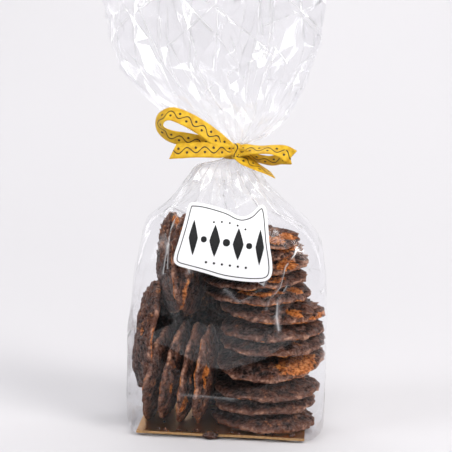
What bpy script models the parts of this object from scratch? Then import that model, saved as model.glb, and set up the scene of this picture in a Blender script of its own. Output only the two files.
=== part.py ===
"""A clear gift bag of florentine biscuits, gathered at the neck and tied with a ribbon bow.

Three solids: the bag, out to its film and with its open mouth above the tie; the ribbon;
and the sticker on the bag's front. The origin is the middle of the flat base, +Z is up and
the front of the bag faces -Y.
"""

import math

import bmesh
import bpy
from mathutils import Vector

MM = 0.001  # one millimetre in metres

# The bag's film, from base to mouth, in millimetres: height, half width, half depth,
# how far the section's middle is shifted along X, and how square the section is.
STATIONS = (
    (0.0, 47.0, 28.0, 0.8, 6.0),
    (1.6, 49.6, 30.2, 1.4, 6.0),
    (10.0, 51.4, 31.0, 1.9, 6.0),
    (50.0, 51.4, 32.0, 1.3, 5.5),
    (70.0, 50.4, 31.8, 1.5, 5.2),
    (85.0, 48.9, 31.4, 1.9, 5.0),
    (98.0, 46.7, 30.2, 2.0, 4.2),
    (110.0, 41.7, 26.4, -0.2, 3.4),
    (120.0, 30.2, 20.4, -0.6, 2.8),
    (130.0, 21.3, 14.0, -2.5, 2.4),
    (138.0, 14.6, 8.8, -2.6, 2.1),
    (141.8, 5.0, 4.6, 1.9, 2.0),
    (145.5, 4.6, 4.4, 2.2, 2.0),
    (149.2, 5.0, 4.6, 2.2, 2.0),
    (152.6, 14.0, 6.4, 0.6, 2.0),
    (158.0, 23.6, 8.6, -1.4, 2.0),
    (165.0, 32.4, 11.0, -3.0, 2.0),
    (171.5, 38.8, 14.8, -6.0, 2.1),
    (179.0, 45.0, 18.0, -8.2, 2.2),
    (190.0, 51.6, 21.0, -10.2, 2.3),
    (203.0, 56.2, 22.8, -9.8, 2.3),
    (222.0, 57.8, 24.2, -10.8, 2.3),
    (242.0, 58.6, 25.0, -11.2, 2.3),
)
NECK_HEIGHT = 145.5
NECK_BOTTOM = 141.8
NECK_TOP = 149.2
MOUTH_HEIGHT = 242.0
COLUMNS = 64
ROWS_BELOW_NECK = 17
ROWS_ABOVE_NECK = 14
ROW_CROWDING = 1.35  # above 1, rows are closer together near the neck
RIM_WAVE = 3.4  # how far the cut edge of the mouth rises and dips

# Gathers: how deep they are at each height, and their waves round the bag as
# (how many, how strong, phase).
GATHER_DEPTHS = ((96.0, 0.0), (112.0, 0.5), (124.0, 1.3), (138.0, 1.2), (145.5, 0.45),
                 (153.0, 1.0), (165.0, 2.0), (190.0, 2.8), (242.0, 2.4))
GATHER_WAVES = ((9, 0.5, 0.6), (13, 0.3, 2.1), (22, 0.2, 4.0))

# The open mouth above the tie
FUNNEL_FLOOR = 170.0
FUNNEL_WALL = 4.6
FUNNEL_ROWS = 6

# Ribbon
RIBBON_WIDTH = 8.0
RIBBON_THICKNESS = 0.7
NECK_BAND_RADIUS = 5.7
NECK_BAND_HEIGHT = 6.4
NECK_BAND_SIDES = 28
KNOT_CENTRE = (3.0, -8.0, 146.2)
KNOT_SIZE = (6.4, 4.6, 7.8)
KNOT_TURN = math.radians(-14.0)
KNOT_EDGE = 1.3
STRIP_STEPS = 5  # cross rows of a strip between two of its points
STRIP_COLUMNS = (-1.0, -0.33, 0.33, 1.0)  # where a strip's points lie across it
LOOK_AHEAD = 0.05  # for a strip's direction, as a share of the way between two points

# Each strip of ribbon: its middle line, and the direction across it, from the edge
# nearer to the viewer to the edge further away.
LEFT_LOOP = (
    ((2.0, -9.0, 146.8), (0.15, 0.30, 0.94)),
    ((-7.0, -13.0, 152.8), (0.42, 0.42, 0.80)),
    ((-14.0, -15.2, 157.8), (0.40, 0.45, 0.80)),
    ((-21.7, -16.0, 162.0), (0.33, 0.48, 0.82)),
    ((-29.4, -15.4, 164.6), (0.00, 0.60, 0.80)),
    ((-34.6, -14.6, 162.8), (-0.55, 0.76, 0.35)),
    ((-36.0, -13.8, 159.2), (-0.55, 0.83, -0.10)),
    ((-34.4, -13.0, 155.6), (-0.45, 0.75, -0.48)),
    ((-30.2, -12.2, 153.1), (-0.20, 0.60, -0.77)),
    ((-23.5, -11.8, 151.8), (0.00, 0.45, -0.89)),
    ((-16.0, -11.6, 150.4), (0.10, 0.35, -0.93)),
    ((-9.0, -10.8, 148.6), (0.12, 0.25, -0.96)),
    ((1.0, -8.8, 146.4), (0.05, 0.10, -0.99)),
)
LEFT_TAIL = (
    ((2.0, -9.4, 147.0), (0.0, 0.10, 0.99)),
    ((-5.0, -14.2, 147.0), (0.0, 0.20, 0.98)),
    ((-12.0, -16.4, 147.1), (0.0, 0.34, 0.94)),
    ((-18.5, -17.0, 146.8), (0.0, 0.40, 0.92)),
    ((-25.0, -16.6, 146.3), (0.0, 0.42, 0.91)),
    ((-31.0, -15.6, 145.7), (0.0, 0.40, 0.92)),
)
RIGHT_LOOP = (
    ((4.0, -8.6, 147.0), (0.00, 0.20, 0.98)),
    ((9.0, -11.4, 147.4), (0.00, 0.80, 0.60)),
    ((14.7, -13.0, 147.8), (0.00, 0.90, 0.42)),
    ((21.3, -13.6, 148.2), (0.00, 0.87, 0.50)),
    ((28.0, -13.6, 148.7), (0.10, 0.89, 0.44)),
    ((33.6, -13.4, 147.6), (0.55, 0.76, 0.35)),
    ((32.6, -12.8, 144.2), (0.75, 0.55, -0.37)),
    ((27.4, -12.4, 142.2), (0.20, 0.72, -0.66)),
    ((21.0, -12.0, 142.4), (0.00, 0.75, -0.66)),
    ((14.8, -11.6, 143.2), (0.00, 0.80, -0.60)),
    ((9.0, -10.4, 144.6), (0.00, 0.75, -0.66)),
    ((4.0, -8.6, 146.0), (0.00, 0.20, -0.98)),
)
RIGHT_TAIL = (
    ((3.0, -9.6, 145.7), (0.30, 0.30, 0.90)),
    ((8.6, -12.0, 141.7), (0.36, 0.80, 0.48)),
    ((14.0, -13.2, 139.1), (0.30, 0.88, 0.38)),
    ((19.0, -13.6, 136.7), (0.20, 0.95, 0.26)),
    ((24.6, -13.4, 133.7), (0.10, 0.99, 0.12)),
)
TAIL_SLANT = 4.6  # how much longer one corner of a cut tail is

# Sticker, in the plane of the front: heights of its edges and where its sides stand
LABEL_LEFT = (-25.4, -19.0)  # at the bottom and at the top
LABEL_RIGHT = (24.4, 19.4)
LABEL_BOTTOM = (89.8, 83.4, 84.4)  # on the left, where the wave is lowest, on the right
LABEL_TOP = (119.8, 114.2, 119.2)
LABEL_BOTTOM_DIP = 0.72  # how far along each edge its wave is lowest
LABEL_TOP_DIP = 0.66
LABEL_CORNER = 3.4
LABEL_THICKNESS = 0.5
LABEL_CLEARANCE = 1.0
LABEL_COLUMNS = 20
LABEL_ROWS = 12


def clear_scene():
    """Removes every object, so that the file can be run again."""
    for obj in list(bpy.data.objects):
        bpy.data.objects.remove(obj, do_unlink=True)


def new_collection(name, hidden=False):
    """A collection under the scene; a hidden one holds shapes that are used up."""
    collection = bpy.data.collections.new(name)
    bpy.context.scene.collection.children.link(collection)
    collection.hide_render = hidden
    return collection


def plain_material(name, colour, roughness, metallic=0.0, alpha=1.0):
    """A Principled material for one sub-part."""
    material = bpy.data.materials.new(name)
    material.use_nodes = True
    shader = material.node_tree.nodes["Principled BSDF"]
    shader.inputs["Base Color"].default_value = (*colour, 1.0)
    shader.inputs["Roughness"].default_value = roughness
    shader.inputs["Metallic"].default_value = metallic
    shader.inputs["Alpha"].default_value = alpha
    return material


def smooth_value(pairs, at):
    """The value at a height, on a curve through the pairs that never overshoots them."""
    last = len(pairs) - 1
    if at <= pairs[0][0]:
        return pairs[0][1]
    if at >= pairs[last][0]:
        return pairs[last][1]
    slopes = [(pairs[i + 1][1] - pairs[i][1]) / (pairs[i + 1][0] - pairs[i][0]) for i in range(last)]
    index = next(i for i in range(last) if at <= pairs[i + 1][0])

    def tangent(i):
        if i == 0 or i == last or slopes[i - 1] * slopes[i] <= 0.0:
            return 0.0
        return 2.0 * slopes[i - 1] * slopes[i] / (slopes[i - 1] + slopes[i])

    span = pairs[index + 1][0] - pairs[index][0]
    t = (at - pairs[index][0]) / span
    rise = t * t * (3.0 - 2.0 * t)
    start_pull = t * (1.0 - t) * (1.0 - t) * span * tangent(index)
    end_pull = t * t * (t - 1.0) * span * tangent(index + 1)
    return pairs[index][1] * (1.0 - rise) + pairs[index + 1][1] * rise + start_pull + end_pull


def station(height):
    """Half width, half depth, shift along X and squareness of the bag at a height."""
    columns = range(1, 5)
    return [smooth_value([(row[0], row[c]) for row in STATIONS], height) for c in columns]


def signed_power(value, power):
    return math.copysign(abs(value) ** power, value)


def section_point(height, turn, inset=0.0):
    """A point of the bag's smooth section, turn going once round from +X towards +Y."""
    half_width, half_depth, shift, square = station(height)
    angle = 2.0 * math.pi * turn
    x = (half_width - inset) * signed_power(math.cos(angle), 2.0 / square)
    y = (half_depth - inset) * signed_power(math.sin(angle), 2.0 / square)
    return Vector((shift + x, y, height))


def gather(turn):
    """The wave of the gathers round the bag, from -1 to 1, made of sharp folds."""
    total = 0.0
    for count, strength, phase in GATHER_WAVES:
        cycle = (turn * count + phase) % 1.0
        total += strength * (4.0 * abs(cycle - 0.5) - 1.0)
    return total


def film_point(height, turn):
    """A point of the film, with its gathers, which only stand in from the smooth section."""
    point = section_point(height, turn)
    half_width, half_depth, shift, _ = station(height)
    outward = Vector(((point.x - shift) / half_width ** 2, point.y / half_depth ** 2, 0.0)).normalized()
    depth = smooth_value(GATHER_DEPTHS, height)
    return point - outward * depth * 0.5 * (1.0 - gather(turn))


def raise_towards_rim(ring, turns, height):
    """Lifts a ring near the mouth, so that the cut edge rises and dips."""
    share = max(0.0, (height - FUNNEL_FLOOR) / (MOUTH_HEIGHT - FUNNEL_FLOOR))
    for point, turn in zip(ring, turns):
        slow_wave = math.sin(2.0 * math.pi * (2.0 * turn + 0.15))
        point.z += RIM_WAVE * (0.7 * slow_wave + 0.3 * gather(turn)) * share ** 3


def object_from_mesh_data(name, bm, collection, material):
    mesh = bpy.data.meshes.new(name)
    bm.to_mesh(mesh)
    bm.free()
    mesh.materials.append(material)
    obj = bpy.data.objects.new(name, mesh)
    collection.objects.link(obj)
    return obj


def closed_loft(rings):
    """A solid through rings of equal length, with its first and last ring filled."""
    bm = bmesh.new()
    rows = [[bm.verts.new(point * MM) for point in ring] for ring in rings]
    for low, high in zip(rows, rows[1:]):
        for i in range(len(low)):
            j = (i + 1) % len(low)
            bm.faces.new((low[i], low[j], high[j], high[i]))
    bm.faces.new(list(reversed(rows[0])))
    bm.faces.new(rows[-1])
    bmesh.ops.recalc_face_normals(bm, faces=bm.faces)
    return bm


def spread_heights(near_neck, far_end, rows):
    """Heights from one end of the tied neck to an end of the bag, closest at the neck."""
    return [near_neck + (far_end - near_neck) * (row / rows) ** ROW_CROWDING for row in range(rows + 1)]


def make_bag(collection, material):
    """The bag up to its tie, and its open, gathered mouth above it."""
    turns = [i / COLUMNS for i in range(COLUMNS)]
    foot = STATIONS[1][0]
    heights = [STATIONS[0][0]] + spread_heights(NECK_BOTTOM, foot, ROWS_BELOW_NECK)[::-1]
    heights += [NECK_HEIGHT] + spread_heights(NECK_TOP, MOUTH_HEIGHT, ROWS_ABOVE_NECK)
    rings = []
    for height in heights:
        ring = [film_point(height, turn) for turn in turns]
        raise_towards_rim(ring, turns, height)
        rings.append(ring)
    for row in range(FUNNEL_ROWS + 1):
        height = MOUTH_HEIGHT - (MOUTH_HEIGHT - FUNNEL_FLOOR) * row / FUNNEL_ROWS
        ring = [section_point(height, turn, FUNNEL_WALL) for turn in turns]
        raise_towards_rim(ring, turns, height)
        rings.append(ring)
    return object_from_mesh_data("bag", closed_loft(rings), collection, material)


def spline_point(points, at):
    """A point of the Catmull-Rom curve through the points; at counts in points."""
    last = len(points) - 1
    index = min(int(at), last - 1)
    t = at - index
    before = points[max(index - 1, 0)]
    start = points[index]
    end = points[index + 1]
    after = points[min(index + 2, last)]
    return 0.5 * (2.0 * start + (end - before) * t
                  + (2.0 * before - 5.0 * start + 4.0 * end - after) * t * t
                  + (3.0 * start - before - 3.0 * end + after) * t * t * t)


def make_strip(name, route, collection, material, slant=0.0):
    """A length of ribbon that follows a route and turns with it."""
    middles = [Vector(middle) for middle, _ in route]
    acrosses = [Vector(across) for _, across in route]
    rows = (len(route) - 1) * STRIP_STEPS
    bm = bmesh.new()
    edges = []
    for row in range(rows + 1):
        at = row / STRIP_STEPS
        middle = spline_point(middles, at)
        ahead = spline_point(middles, min(at + LOOK_AHEAD, rows / STRIP_STEPS))
        behind = spline_point(middles, max(at - LOOK_AHEAD, 0.0))
        along = (ahead - behind).normalized()
        across = spline_point(acrosses, at)
        across = (across - along * across.dot(along)).normalized()
        reach = max(0.0, at - (len(route) - 2)) * slant
        edge = []
        for side in STRIP_COLUMNS:
            point = middle + across * side * RIBBON_WIDTH / 2.0 - along * side * reach / 2.0
            edge.append(bm.verts.new(point * MM))
        edges.append(edge)
    for low, high in zip(edges, edges[1:]):
        for i in range(len(low) - 1):
            bm.faces.new((low[i], low[i + 1], high[i + 1], high[i]))
    strip = object_from_mesh_data(name, bm, collection, material)
    wall = strip.modifiers.new("Solidify", "SOLIDIFY")
    wall.thickness = RIBBON_THICKNESS * MM
    wall.offset = 0.0
    wall.use_even_offset = True
    return strip


def make_neck_band(collection, material):
    """The turn of ribbon round the gathered neck."""
    bm = bmesh.new()
    _, _, shift, _ = station(NECK_HEIGHT)
    rings = []
    for level in (-0.5, 0.5):
        ring = []
        for i in range(NECK_BAND_SIDES):
            angle = 2.0 * math.pi * i / NECK_BAND_SIDES
            x = shift + NECK_BAND_RADIUS * math.cos(angle)
            y = NECK_BAND_RADIUS * math.sin(angle)
            ring.append(bm.verts.new(Vector((x, y, NECK_HEIGHT + level * NECK_BAND_HEIGHT)) * MM))
        rings.append(ring)
    for i in range(NECK_BAND_SIDES):
        j = (i + 1) % NECK_BAND_SIDES
        bm.faces.new((rings[0][i], rings[0][j], rings[1][j], rings[1][i]))
    band = object_from_mesh_data("neck_band", bm, collection, material)
    wall = band.modifiers.new("Solidify", "SOLIDIFY")
    wall.thickness = RIBBON_THICKNESS * MM
    wall.offset = 1.0
    return band


def make_knot(collection, material):
    """The knot in front of the neck, a rounded block."""
    bm = bmesh.new()
    bmesh.ops.create_cube(bm, size=1.0)
    bmesh.ops.scale(bm, vec=Vector(KNOT_SIZE) * MM, verts=bm.verts)
    knot = object_from_mesh_data("knot", bm, collection, material)
    knot.location = Vector(KNOT_CENTRE) * MM
    knot.rotation_euler = (0.0, KNOT_TURN, 0.0)
    edges = knot.modifiers.new("Bevel", "BEVEL")
    edges.width = KNOT_EDGE * MM
    edges.segments = 3
    return knot


def make_ribbon(collection, used_up, material):
    """One ribbon: the turn round the neck, the knot, two loops and two tails."""
    pieces = [
        make_neck_band(used_up, material),
        make_strip("left_loop", LEFT_LOOP, used_up, material),
        make_strip("left_tail", LEFT_TAIL, used_up, material, TAIL_SLANT),
        make_strip("right_loop", RIGHT_LOOP, used_up, material),
        make_strip("right_tail", RIGHT_TAIL, used_up, material, TAIL_SLANT),
    ]
    knot = make_knot(collection, material)
    knot.name = "ribbon"
    join = knot.modifiers.new("Join", "BOOLEAN")
    join.operation = "UNION"
    join.operand_type = "COLLECTION"
    join.collection = used_up
    join.solver = "EXACT"
    bpy.context.view_layer.update()
    evaluated = knot.evaluated_get(bpy.context.evaluated_depsgraph_get())
    joined = bpy.data.meshes.new_from_object(evaluated)
    knot.modifiers.clear()
    knot.data = joined
    for piece in pieces:
        bpy.data.objects.remove(piece, do_unlink=True)
    return knot


def film_front(x, height):
    """How far the bag's smooth front stands at this place, a negative Y."""
    half_width, half_depth, shift, square = station(height)
    share = min(0.999, abs((x - shift) / half_width))
    return -half_depth * (1.0 - share ** square) ** (1.0 / square)


def through_three(values, middle_at, at):
    """A smooth wave through a value at the start, at middle_at and at the end."""
    if at < middle_at:
        t = at / middle_at
        low, high = values[0], values[1]
    else:
        t = (at - middle_at) / (1.0 - middle_at)
        low, high = values[1], values[2]
    return low + (high - low) * t * t * (3.0 - 2.0 * t)


def corner_cut(distance):
    """How far a rounded corner draws the edge in, this far from the sticker's side."""
    if distance >= LABEL_CORNER:
        return 0.0
    return LABEL_CORNER - math.sqrt(LABEL_CORNER ** 2 - (LABEL_CORNER - distance) ** 2)


def label_point(u, v):
    """A point of the sticker, u going across it and v up it."""
    wide = LABEL_RIGHT[0] - LABEL_LEFT[0]
    cut = corner_cut(min(u, 1.0 - u) * wide)
    bottom = through_three(LABEL_BOTTOM, LABEL_BOTTOM_DIP, u) + cut
    top = through_three(LABEL_TOP, LABEL_TOP_DIP, u) - cut
    height = bottom + (top - bottom) * v
    left = LABEL_LEFT[0] + (LABEL_LEFT[1] - LABEL_LEFT[0]) * v
    right = LABEL_RIGHT[0] + (LABEL_RIGHT[1] - LABEL_RIGHT[0]) * v
    x = left + (right - left) * u
    return Vector((x, film_front(x, height) - LABEL_CLEARANCE, height))


def make_label(collection, material):
    """The sticker, a sheet with a waved top edge that lies along the bag's front."""
    bm = bmesh.new()
    ease = [0.5 - 0.5 * math.cos(math.pi * i / LABEL_COLUMNS) for i in range(LABEL_COLUMNS + 1)]
    rows = []
    for j in range(LABEL_ROWS + 1):
        rows.append([bm.verts.new(label_point(u, j / LABEL_ROWS) * MM) for u in ease])
    for low, high in zip(rows, rows[1:]):
        for i in range(LABEL_COLUMNS):
            bm.faces.new((low[i], low[i + 1], high[i + 1], high[i]))
    label = object_from_mesh_data("label", bm, collection, material)
    wall = label.modifiers.new("Solidify", "SOLIDIFY")
    wall.thickness = LABEL_THICKNESS * MM
    wall.offset = 1.0
    return label


def main():
    clear_scene()
    parts = new_collection("florentine_bag")
    used_up = new_collection("ribbon_pieces", hidden=True)
    film = plain_material("clear_film", (0.82, 0.83, 0.85), 0.12, alpha=0.45)
    satin = plain_material("yellow_satin", (0.78, 0.50, 0.05), 0.45)
    paper = plain_material("white_sticker", (0.92, 0.92, 0.93), 0.5)
    make_bag(parts, film)
    make_ribbon(parts, used_up, satin)
    make_label(parts, paper)


main()
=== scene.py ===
"""Looks for a clear gift bag of chocolate florentines.

The crumpled film, the biscuits, the gold card they stand on, the satin ribbon and the
sticker are each modelled here in millimetres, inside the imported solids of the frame.
"""

import logging
import math
import random
from bisect import bisect_right
from dataclasses import dataclass
from enum import Enum
from functools import cached_property

import bmesh
import bpy
from mathutils import Matrix, Vector, geometry, noise
from mathutils.bvhtree import BVHTree


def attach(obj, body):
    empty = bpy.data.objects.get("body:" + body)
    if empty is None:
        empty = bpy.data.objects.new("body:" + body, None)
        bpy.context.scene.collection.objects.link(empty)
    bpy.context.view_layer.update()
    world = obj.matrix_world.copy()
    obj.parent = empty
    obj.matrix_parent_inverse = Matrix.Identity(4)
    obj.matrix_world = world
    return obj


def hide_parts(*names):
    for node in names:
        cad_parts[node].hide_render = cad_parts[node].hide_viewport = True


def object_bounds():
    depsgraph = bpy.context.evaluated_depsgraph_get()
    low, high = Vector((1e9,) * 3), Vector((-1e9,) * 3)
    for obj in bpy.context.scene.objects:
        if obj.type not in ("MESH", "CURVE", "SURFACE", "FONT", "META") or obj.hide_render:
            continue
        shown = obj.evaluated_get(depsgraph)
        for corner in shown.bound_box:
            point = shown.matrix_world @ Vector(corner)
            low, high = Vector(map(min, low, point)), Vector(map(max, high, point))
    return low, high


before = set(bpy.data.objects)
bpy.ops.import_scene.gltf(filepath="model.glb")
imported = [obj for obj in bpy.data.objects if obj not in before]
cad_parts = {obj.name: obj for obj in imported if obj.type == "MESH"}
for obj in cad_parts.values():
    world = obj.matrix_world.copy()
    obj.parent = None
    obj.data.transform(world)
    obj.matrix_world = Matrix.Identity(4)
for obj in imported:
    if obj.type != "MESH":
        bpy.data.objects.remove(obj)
CAD_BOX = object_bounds()

LOG = logging.getLogger("florentine_bag")
MM = 0.001  # one millimetre in metres
TURN = 2.0 * math.pi
BODY = "root"
RIGHT = Vector((1.0, 0.0, 0.0))
VIEWER = Vector((0.0, -1.0, 0.0))  # from the bag towards the viewer

Pair = tuple[float, float]
Triple = tuple[float, float, float]
Fold = tuple[Triple, ...]  # a fold's points: two places on the film, and how far each stands out
Outline = tuple[Pair, ...]
Facet = tuple[int, int, int]
Mesh = bmesh.types.BMesh
Vert = bmesh.types.BMVert
Material = bpy.types.Material
Piece = bpy.types.Object
Node = bpy.types.Node
Socket = bpy.types.NodeSocket
Input = float | str | Socket  # a number, an sRGB hex colour or another node's output


def linear(hex_colour: str) -> tuple[float, float, float, float]:
    """Turns an sRGB hex colour into the linear colour that Blender's nodes take.

    Args:
        hex_colour: six hex digits after a hash, such as "#c9964a".

    Returns:
        Linear red, green and blue, and an alpha of 1.
    """
    channels = [int(hex_colour[i:i + 2], 16) / 255.0 for i in (1, 3, 5)]
    lin = [c / 12.92 if c <= 0.04045 else ((c + 0.055) / 1.055) ** 2.4 for c in channels]
    return (lin[0], lin[1], lin[2], 1.0)


def add_node(tree: bpy.types.NodeTree, kind: str, inputs: dict[int | str, Input], **settings: object) -> Node:
    """Adds one shader node.

    Args:
        tree: the node tree that gets the node.
        kind: the node's Blender type without "ShaderNode", such as "TexNoise".
        inputs: what goes into the input sockets, by their names or numbers.
        settings: the node's own properties.

    Returns:
        The new node.
    """
    node = tree.nodes.new("ShaderNode" + kind)
    for name, value in settings.items():
        setattr(node, name, value)
    for name, value in inputs.items():
        if isinstance(value, Socket):
            tree.links.new(value, node.inputs[name])
        else:
            node.inputs[name].default_value = linear(value) if isinstance(value, str) else value
    return node


class Shader:
    """A material's shader, with a short method for each kind of node that the finishes need."""

    def __init__(self, name: str) -> None:
        """Makes a material with nothing but its output node."""
        self.material = bpy.data.materials.new(name)
        self.material.use_nodes = True
        self.tree = self.material.node_tree
        self.tree.nodes.clear()

    @cached_property
    def place(self) -> Socket:
        """Where the shaded point lies, in metres."""
        return add_node(self.tree, "NewGeometry", {}).outputs["Position"]

    def painted(self, name: str) -> Socket:
        """The number that the mesh stores under a name."""
        return add_node(self.tree, "Attribute", {}, attribute_name=name).outputs["Fac"]

    def noise(self, size_mm: float, detail: float, roughness: float = 0.5) -> Socket:
        """Noise from 0 to 1, whose largest lumps are about this many millimetres."""
        inputs = {"Vector": self.place, "Scale": 1.0 / (size_mm * MM),
                  "Detail": detail, "Roughness": roughness}
        return add_node(self.tree, "TexNoise", inputs).outputs["Fac"]

    def maths(self, operation: str, one: Input, two: Input = 0.0, three: Input = 0.0,
              clamp: bool = False) -> Socket:
        """One step of arithmetic."""
        inputs = {0: one, 1: two, 2: three}
        return add_node(self.tree, "Math", inputs, operation=operation, use_clamp=clamp).outputs[0]

    def spread(self, value: Socket, come: Pair = (0.0, 1.0), go: Pair = (0.0, 1.0)) -> Socket:
        """A value whose range is moved from one pair to another, and held there."""
        inputs = {"Value": value, "From Min": come[0], "From Max": come[1], "To Min": go[0], "To Max": go[1]}
        return add_node(self.tree, "MapRange", inputs).outputs["Result"]

    def blend(self, share: Input, one: Input, other: Input) -> Socket:
        """A number between two others."""
        return add_node(self.tree, "Mix", {0: share, 2: one, 3: other}, data_type="FLOAT").outputs[0]

    def blend_colours(self, share: Socket, one: Input, other: Input) -> Socket:
        """A colour between two others."""
        return add_node(self.tree, "Mix", {0: share, 6: one, 7: other}, data_type="RGBA").outputs[2]

    def blend_surfaces(self, share: Socket, one: Socket, other: Socket) -> Socket:
        """A surface between two others."""
        return add_node(self.tree, "MixShader", {0: share, 1: one, 2: other}).outputs[0]

    def ramp(self, value: Socket, *stops: tuple[float, str]) -> Socket:
        """The colour that a value has between stops, each a place and an sRGB hex colour."""
        node = add_node(self.tree, "ValToRGB", {"Fac": value})
        elements = node.color_ramp.elements
        while len(elements) < len(stops):
            elements.new(0.5)
        for element, (place, hex_colour) in zip(elements, stops):
            element.position = place
            element.color = linear(hex_colour)
        return node.outputs["Color"]

    def bump(self, height: Socket, strength: float, depth_mm: float) -> Socket:
        """The normal of a surface with this relief."""
        inputs = {"Height": height, "Strength": strength, "Distance": depth_mm * MM}
        return add_node(self.tree, "Bump", inputs).outputs["Normal"]

    def surface(self, kind: str, inputs: dict[str, Input]) -> Socket:
        """A surface of one kind, such as "BsdfGlossy"."""
        return add_node(self.tree, kind, inputs).outputs[0]

    def finish(self, surface: Socket) -> Material:
        """Sends the surface to the output, and gives back the finished material."""
        add_node(self.tree, "OutputMaterial", {"Surface": surface})
        return self.material

    def principled(self, inputs: dict[str, Input]) -> Material:
        """The finished material, with one principled surface."""
        return self.finish(self.surface("BsdfPrincipled", inputs))


def add_object(name: str, data: bpy.types.ID) -> Piece:
    """Adds an object that holds a mesh, a lamp or a camera to the scene."""
    piece = bpy.data.objects.new(name, data)
    bpy.context.scene.collection.objects.link(piece)
    return piece


def mesh_object(name: str, bm: Mesh, materials: list[Material]) -> Piece:
    """Turns a bmesh, which is freed, into an object with these material slots."""
    mesh = bpy.data.meshes.new(name)
    bm.to_mesh(mesh)
    bm.free()
    for material in materials:
        mesh.materials.append(material)
    return add_object(name, mesh)


def mesh_piece(name: str, bm: Mesh, materials: list[Material], smooth: bool = False) -> Piece:
    """Turns a bmesh in millimetres into an object in metres that rides on the pack.

    Args:
        name: the piece's name.
        bm: the shape, which is freed.
        materials: its material slots.
        smooth: whether its faces are shaded smooth.

    Returns:
        The new object, linked to the scene.
    """
    bmesh.ops.scale(bm, vec=(MM, MM, MM), verts=bm.verts)
    for face in bm.faces:
        face.smooth = smooth
    piece = mesh_object(name, bm, materials)
    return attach(piece, BODY)


def smooth_step(low: float, high: float, value: float) -> float:
    """A smooth rise from 0 at low to 1 at high."""
    share = min(1.0, max(0.0, (value - low) / (high - low)))
    return share * share * (3.0 - 2.0 * share)


def row_below(rows: list[tuple[float, ...]], value: float, column: int = 0) -> int:
    """The number of the last row whose column holds at most a value, and that has a row after it."""
    return min(len(rows) - 2, max(0, bisect_right(rows, value, key=lambda row: row[column]) - 1))


def within(x: float, z: float, shape: list[Pair]) -> bool:
    """Says whether a point lies inside an outline.

    Args:
        x: the point's place across.
        z: the point's height.
        shape: the outline's corners in order.

    Returns:
        True where the outline goes round the point.
    """
    inside = False
    for (x0, z0), (x1, z1) in zip(shape, shape[1:] + shape[:1]):
        if (z0 > z) != (z1 > z) and x < x0 + (x1 - x0) * (z - z0) / (z1 - z0):
            inside = not inside
    return inside


def kept_in_box(point: Vector, gap: float) -> Vector:
    """A point, in millimetres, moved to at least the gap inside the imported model's box."""
    sides = zip(point, *CAD_BOX)
    return Vector([min(max(at, least / MM + gap), most / MM - gap) for at, least, most in sides])


def spline_point(points: list[Vector], at: float) -> Vector:
    """A point of the Catmull-Rom curve through some points.

    Args:
        points: the points that the curve passes through.
        at: where along it, counted in points.

    Returns:
        The point on the curve.
    """
    last = len(points) - 1
    index = min(int(at), last - 1)
    t = at - index
    before, start = points[max(index - 1, 0)], points[index]
    end, after = points[index + 1], points[min(index + 2, last)]
    return 0.5 * (2.0 * start + (end - before) * t
                  + (2.0 * before - 5.0 * start + 4.0 * end - after) * t * t
                  + (3.0 * start - before - 3.0 * end + after) * t * t * t)


class Lie(Enum):
    """How a biscuit lies in the bag."""

    FLAT = "flat"
    ON_EDGE = "on edge"


@dataclass(frozen=True)
class PolypropyleneFilm:
    """Cast polypropylene film: clear, with two mirror faces that catch the lamps at a crease.

    The mesh stores four numbers for it: a painted reflection, how much pale room a facet is painted
    to mirror head-on, set by region; crease, how strongly a painted highlight lies along a fold;
    crumple, how tightly it is gathered; taut, how smooth it is.
    """

    mirror_head_on: float = 0.036  # both faces of a sheet of IOR 1.5 mirror 0.08; some is lost here
    mirror_rise: float = 5.0  # Schlick's power, for how the mirror grows towards the edge
    tint: str = "#fdfdfe"
    white: str = "#ffffff"
    haze: float = 0.003  # light that the sheet scatters
    crease_power: float = 4.0  # keeps a fold's painted highlight to the very line of the fold
    crease_break: Pair = (0.22, 0.5)  # where the crinkles let a fold's painted highlight fade out
    crease_mirror: float = 0.5  # painted highlight: a fold's line mirrors this much more, standing in for a rounded fold that mirrors from many sides
    crease_roughness: float = 0.34
    crumple_haze: float = 0.45  # where the film is gathered small
    crinkle_mm: float = 7.0
    crinkle_depth_mm: float = 0.06
    roughness: float = 0.15
    taut_roughness: float = 0.12  # of the open mouth, which nothing has rubbed

    def material(self) -> Material:
        """Builds the film's shader."""
        film = Shader("cast_polypropylene_film")
        crinkle = film.noise(self.crinkle_mm, 1.5, 0.45)
        normal = film.bump(crinkle, 1.0, self.crinkle_depth_mm)
        facing = add_node(film.tree, "LayerWeight", {"Blend": 0.5, "Normal": normal}).outputs["Facing"]
        rise = film.maths("POWER", facing, self.mirror_rise)
        # painted reflection: the mirror's head-on strength is painted by region through a number stored in
        # the mesh
        head_on = film.maths("MULTIPLY", film.painted("painted_gleam"), self.mirror_head_on)
        share = film.maths("MULTIPLY_ADD", rise, 1.0 - self.mirror_head_on, head_on)
        # painted highlight: along the folds that the mesh marks, the mirror is made stronger and blurrier
        line = film.maths("POWER", film.painted("crease"), self.crease_power)
        crease_glint = film.maths("MULTIPLY", line, film.spread(crinkle, self.crease_break))
        mirror_share = film.maths("MULTIPLY_ADD", crease_glint, self.crease_mirror, share, clamp=True)
        smooth = film.blend(film.painted("taut"), self.roughness, self.taut_roughness)
        blur = film.maths("MULTIPLY_ADD", crease_glint, self.crease_roughness, smooth)
        gathered = film.maths("MULTIPLY", film.painted("crumple"), crinkle)
        cloud = film.maths("MULTIPLY_ADD", gathered, self.crumple_haze, self.haze)
        clear = film.surface("BsdfTransparent", {"Color": self.tint})
        scatter = film.surface("BsdfDiffuse", {"Color": self.white})
        mirror = film.surface("BsdfGlossy", {"Color": self.white, "Normal": normal, "Roughness": blur})
        hazed = film.blend_surfaces(cloud, clear, scatter)
        return film.finish(film.blend_surfaces(mirror_share, hazed, mirror))


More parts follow.
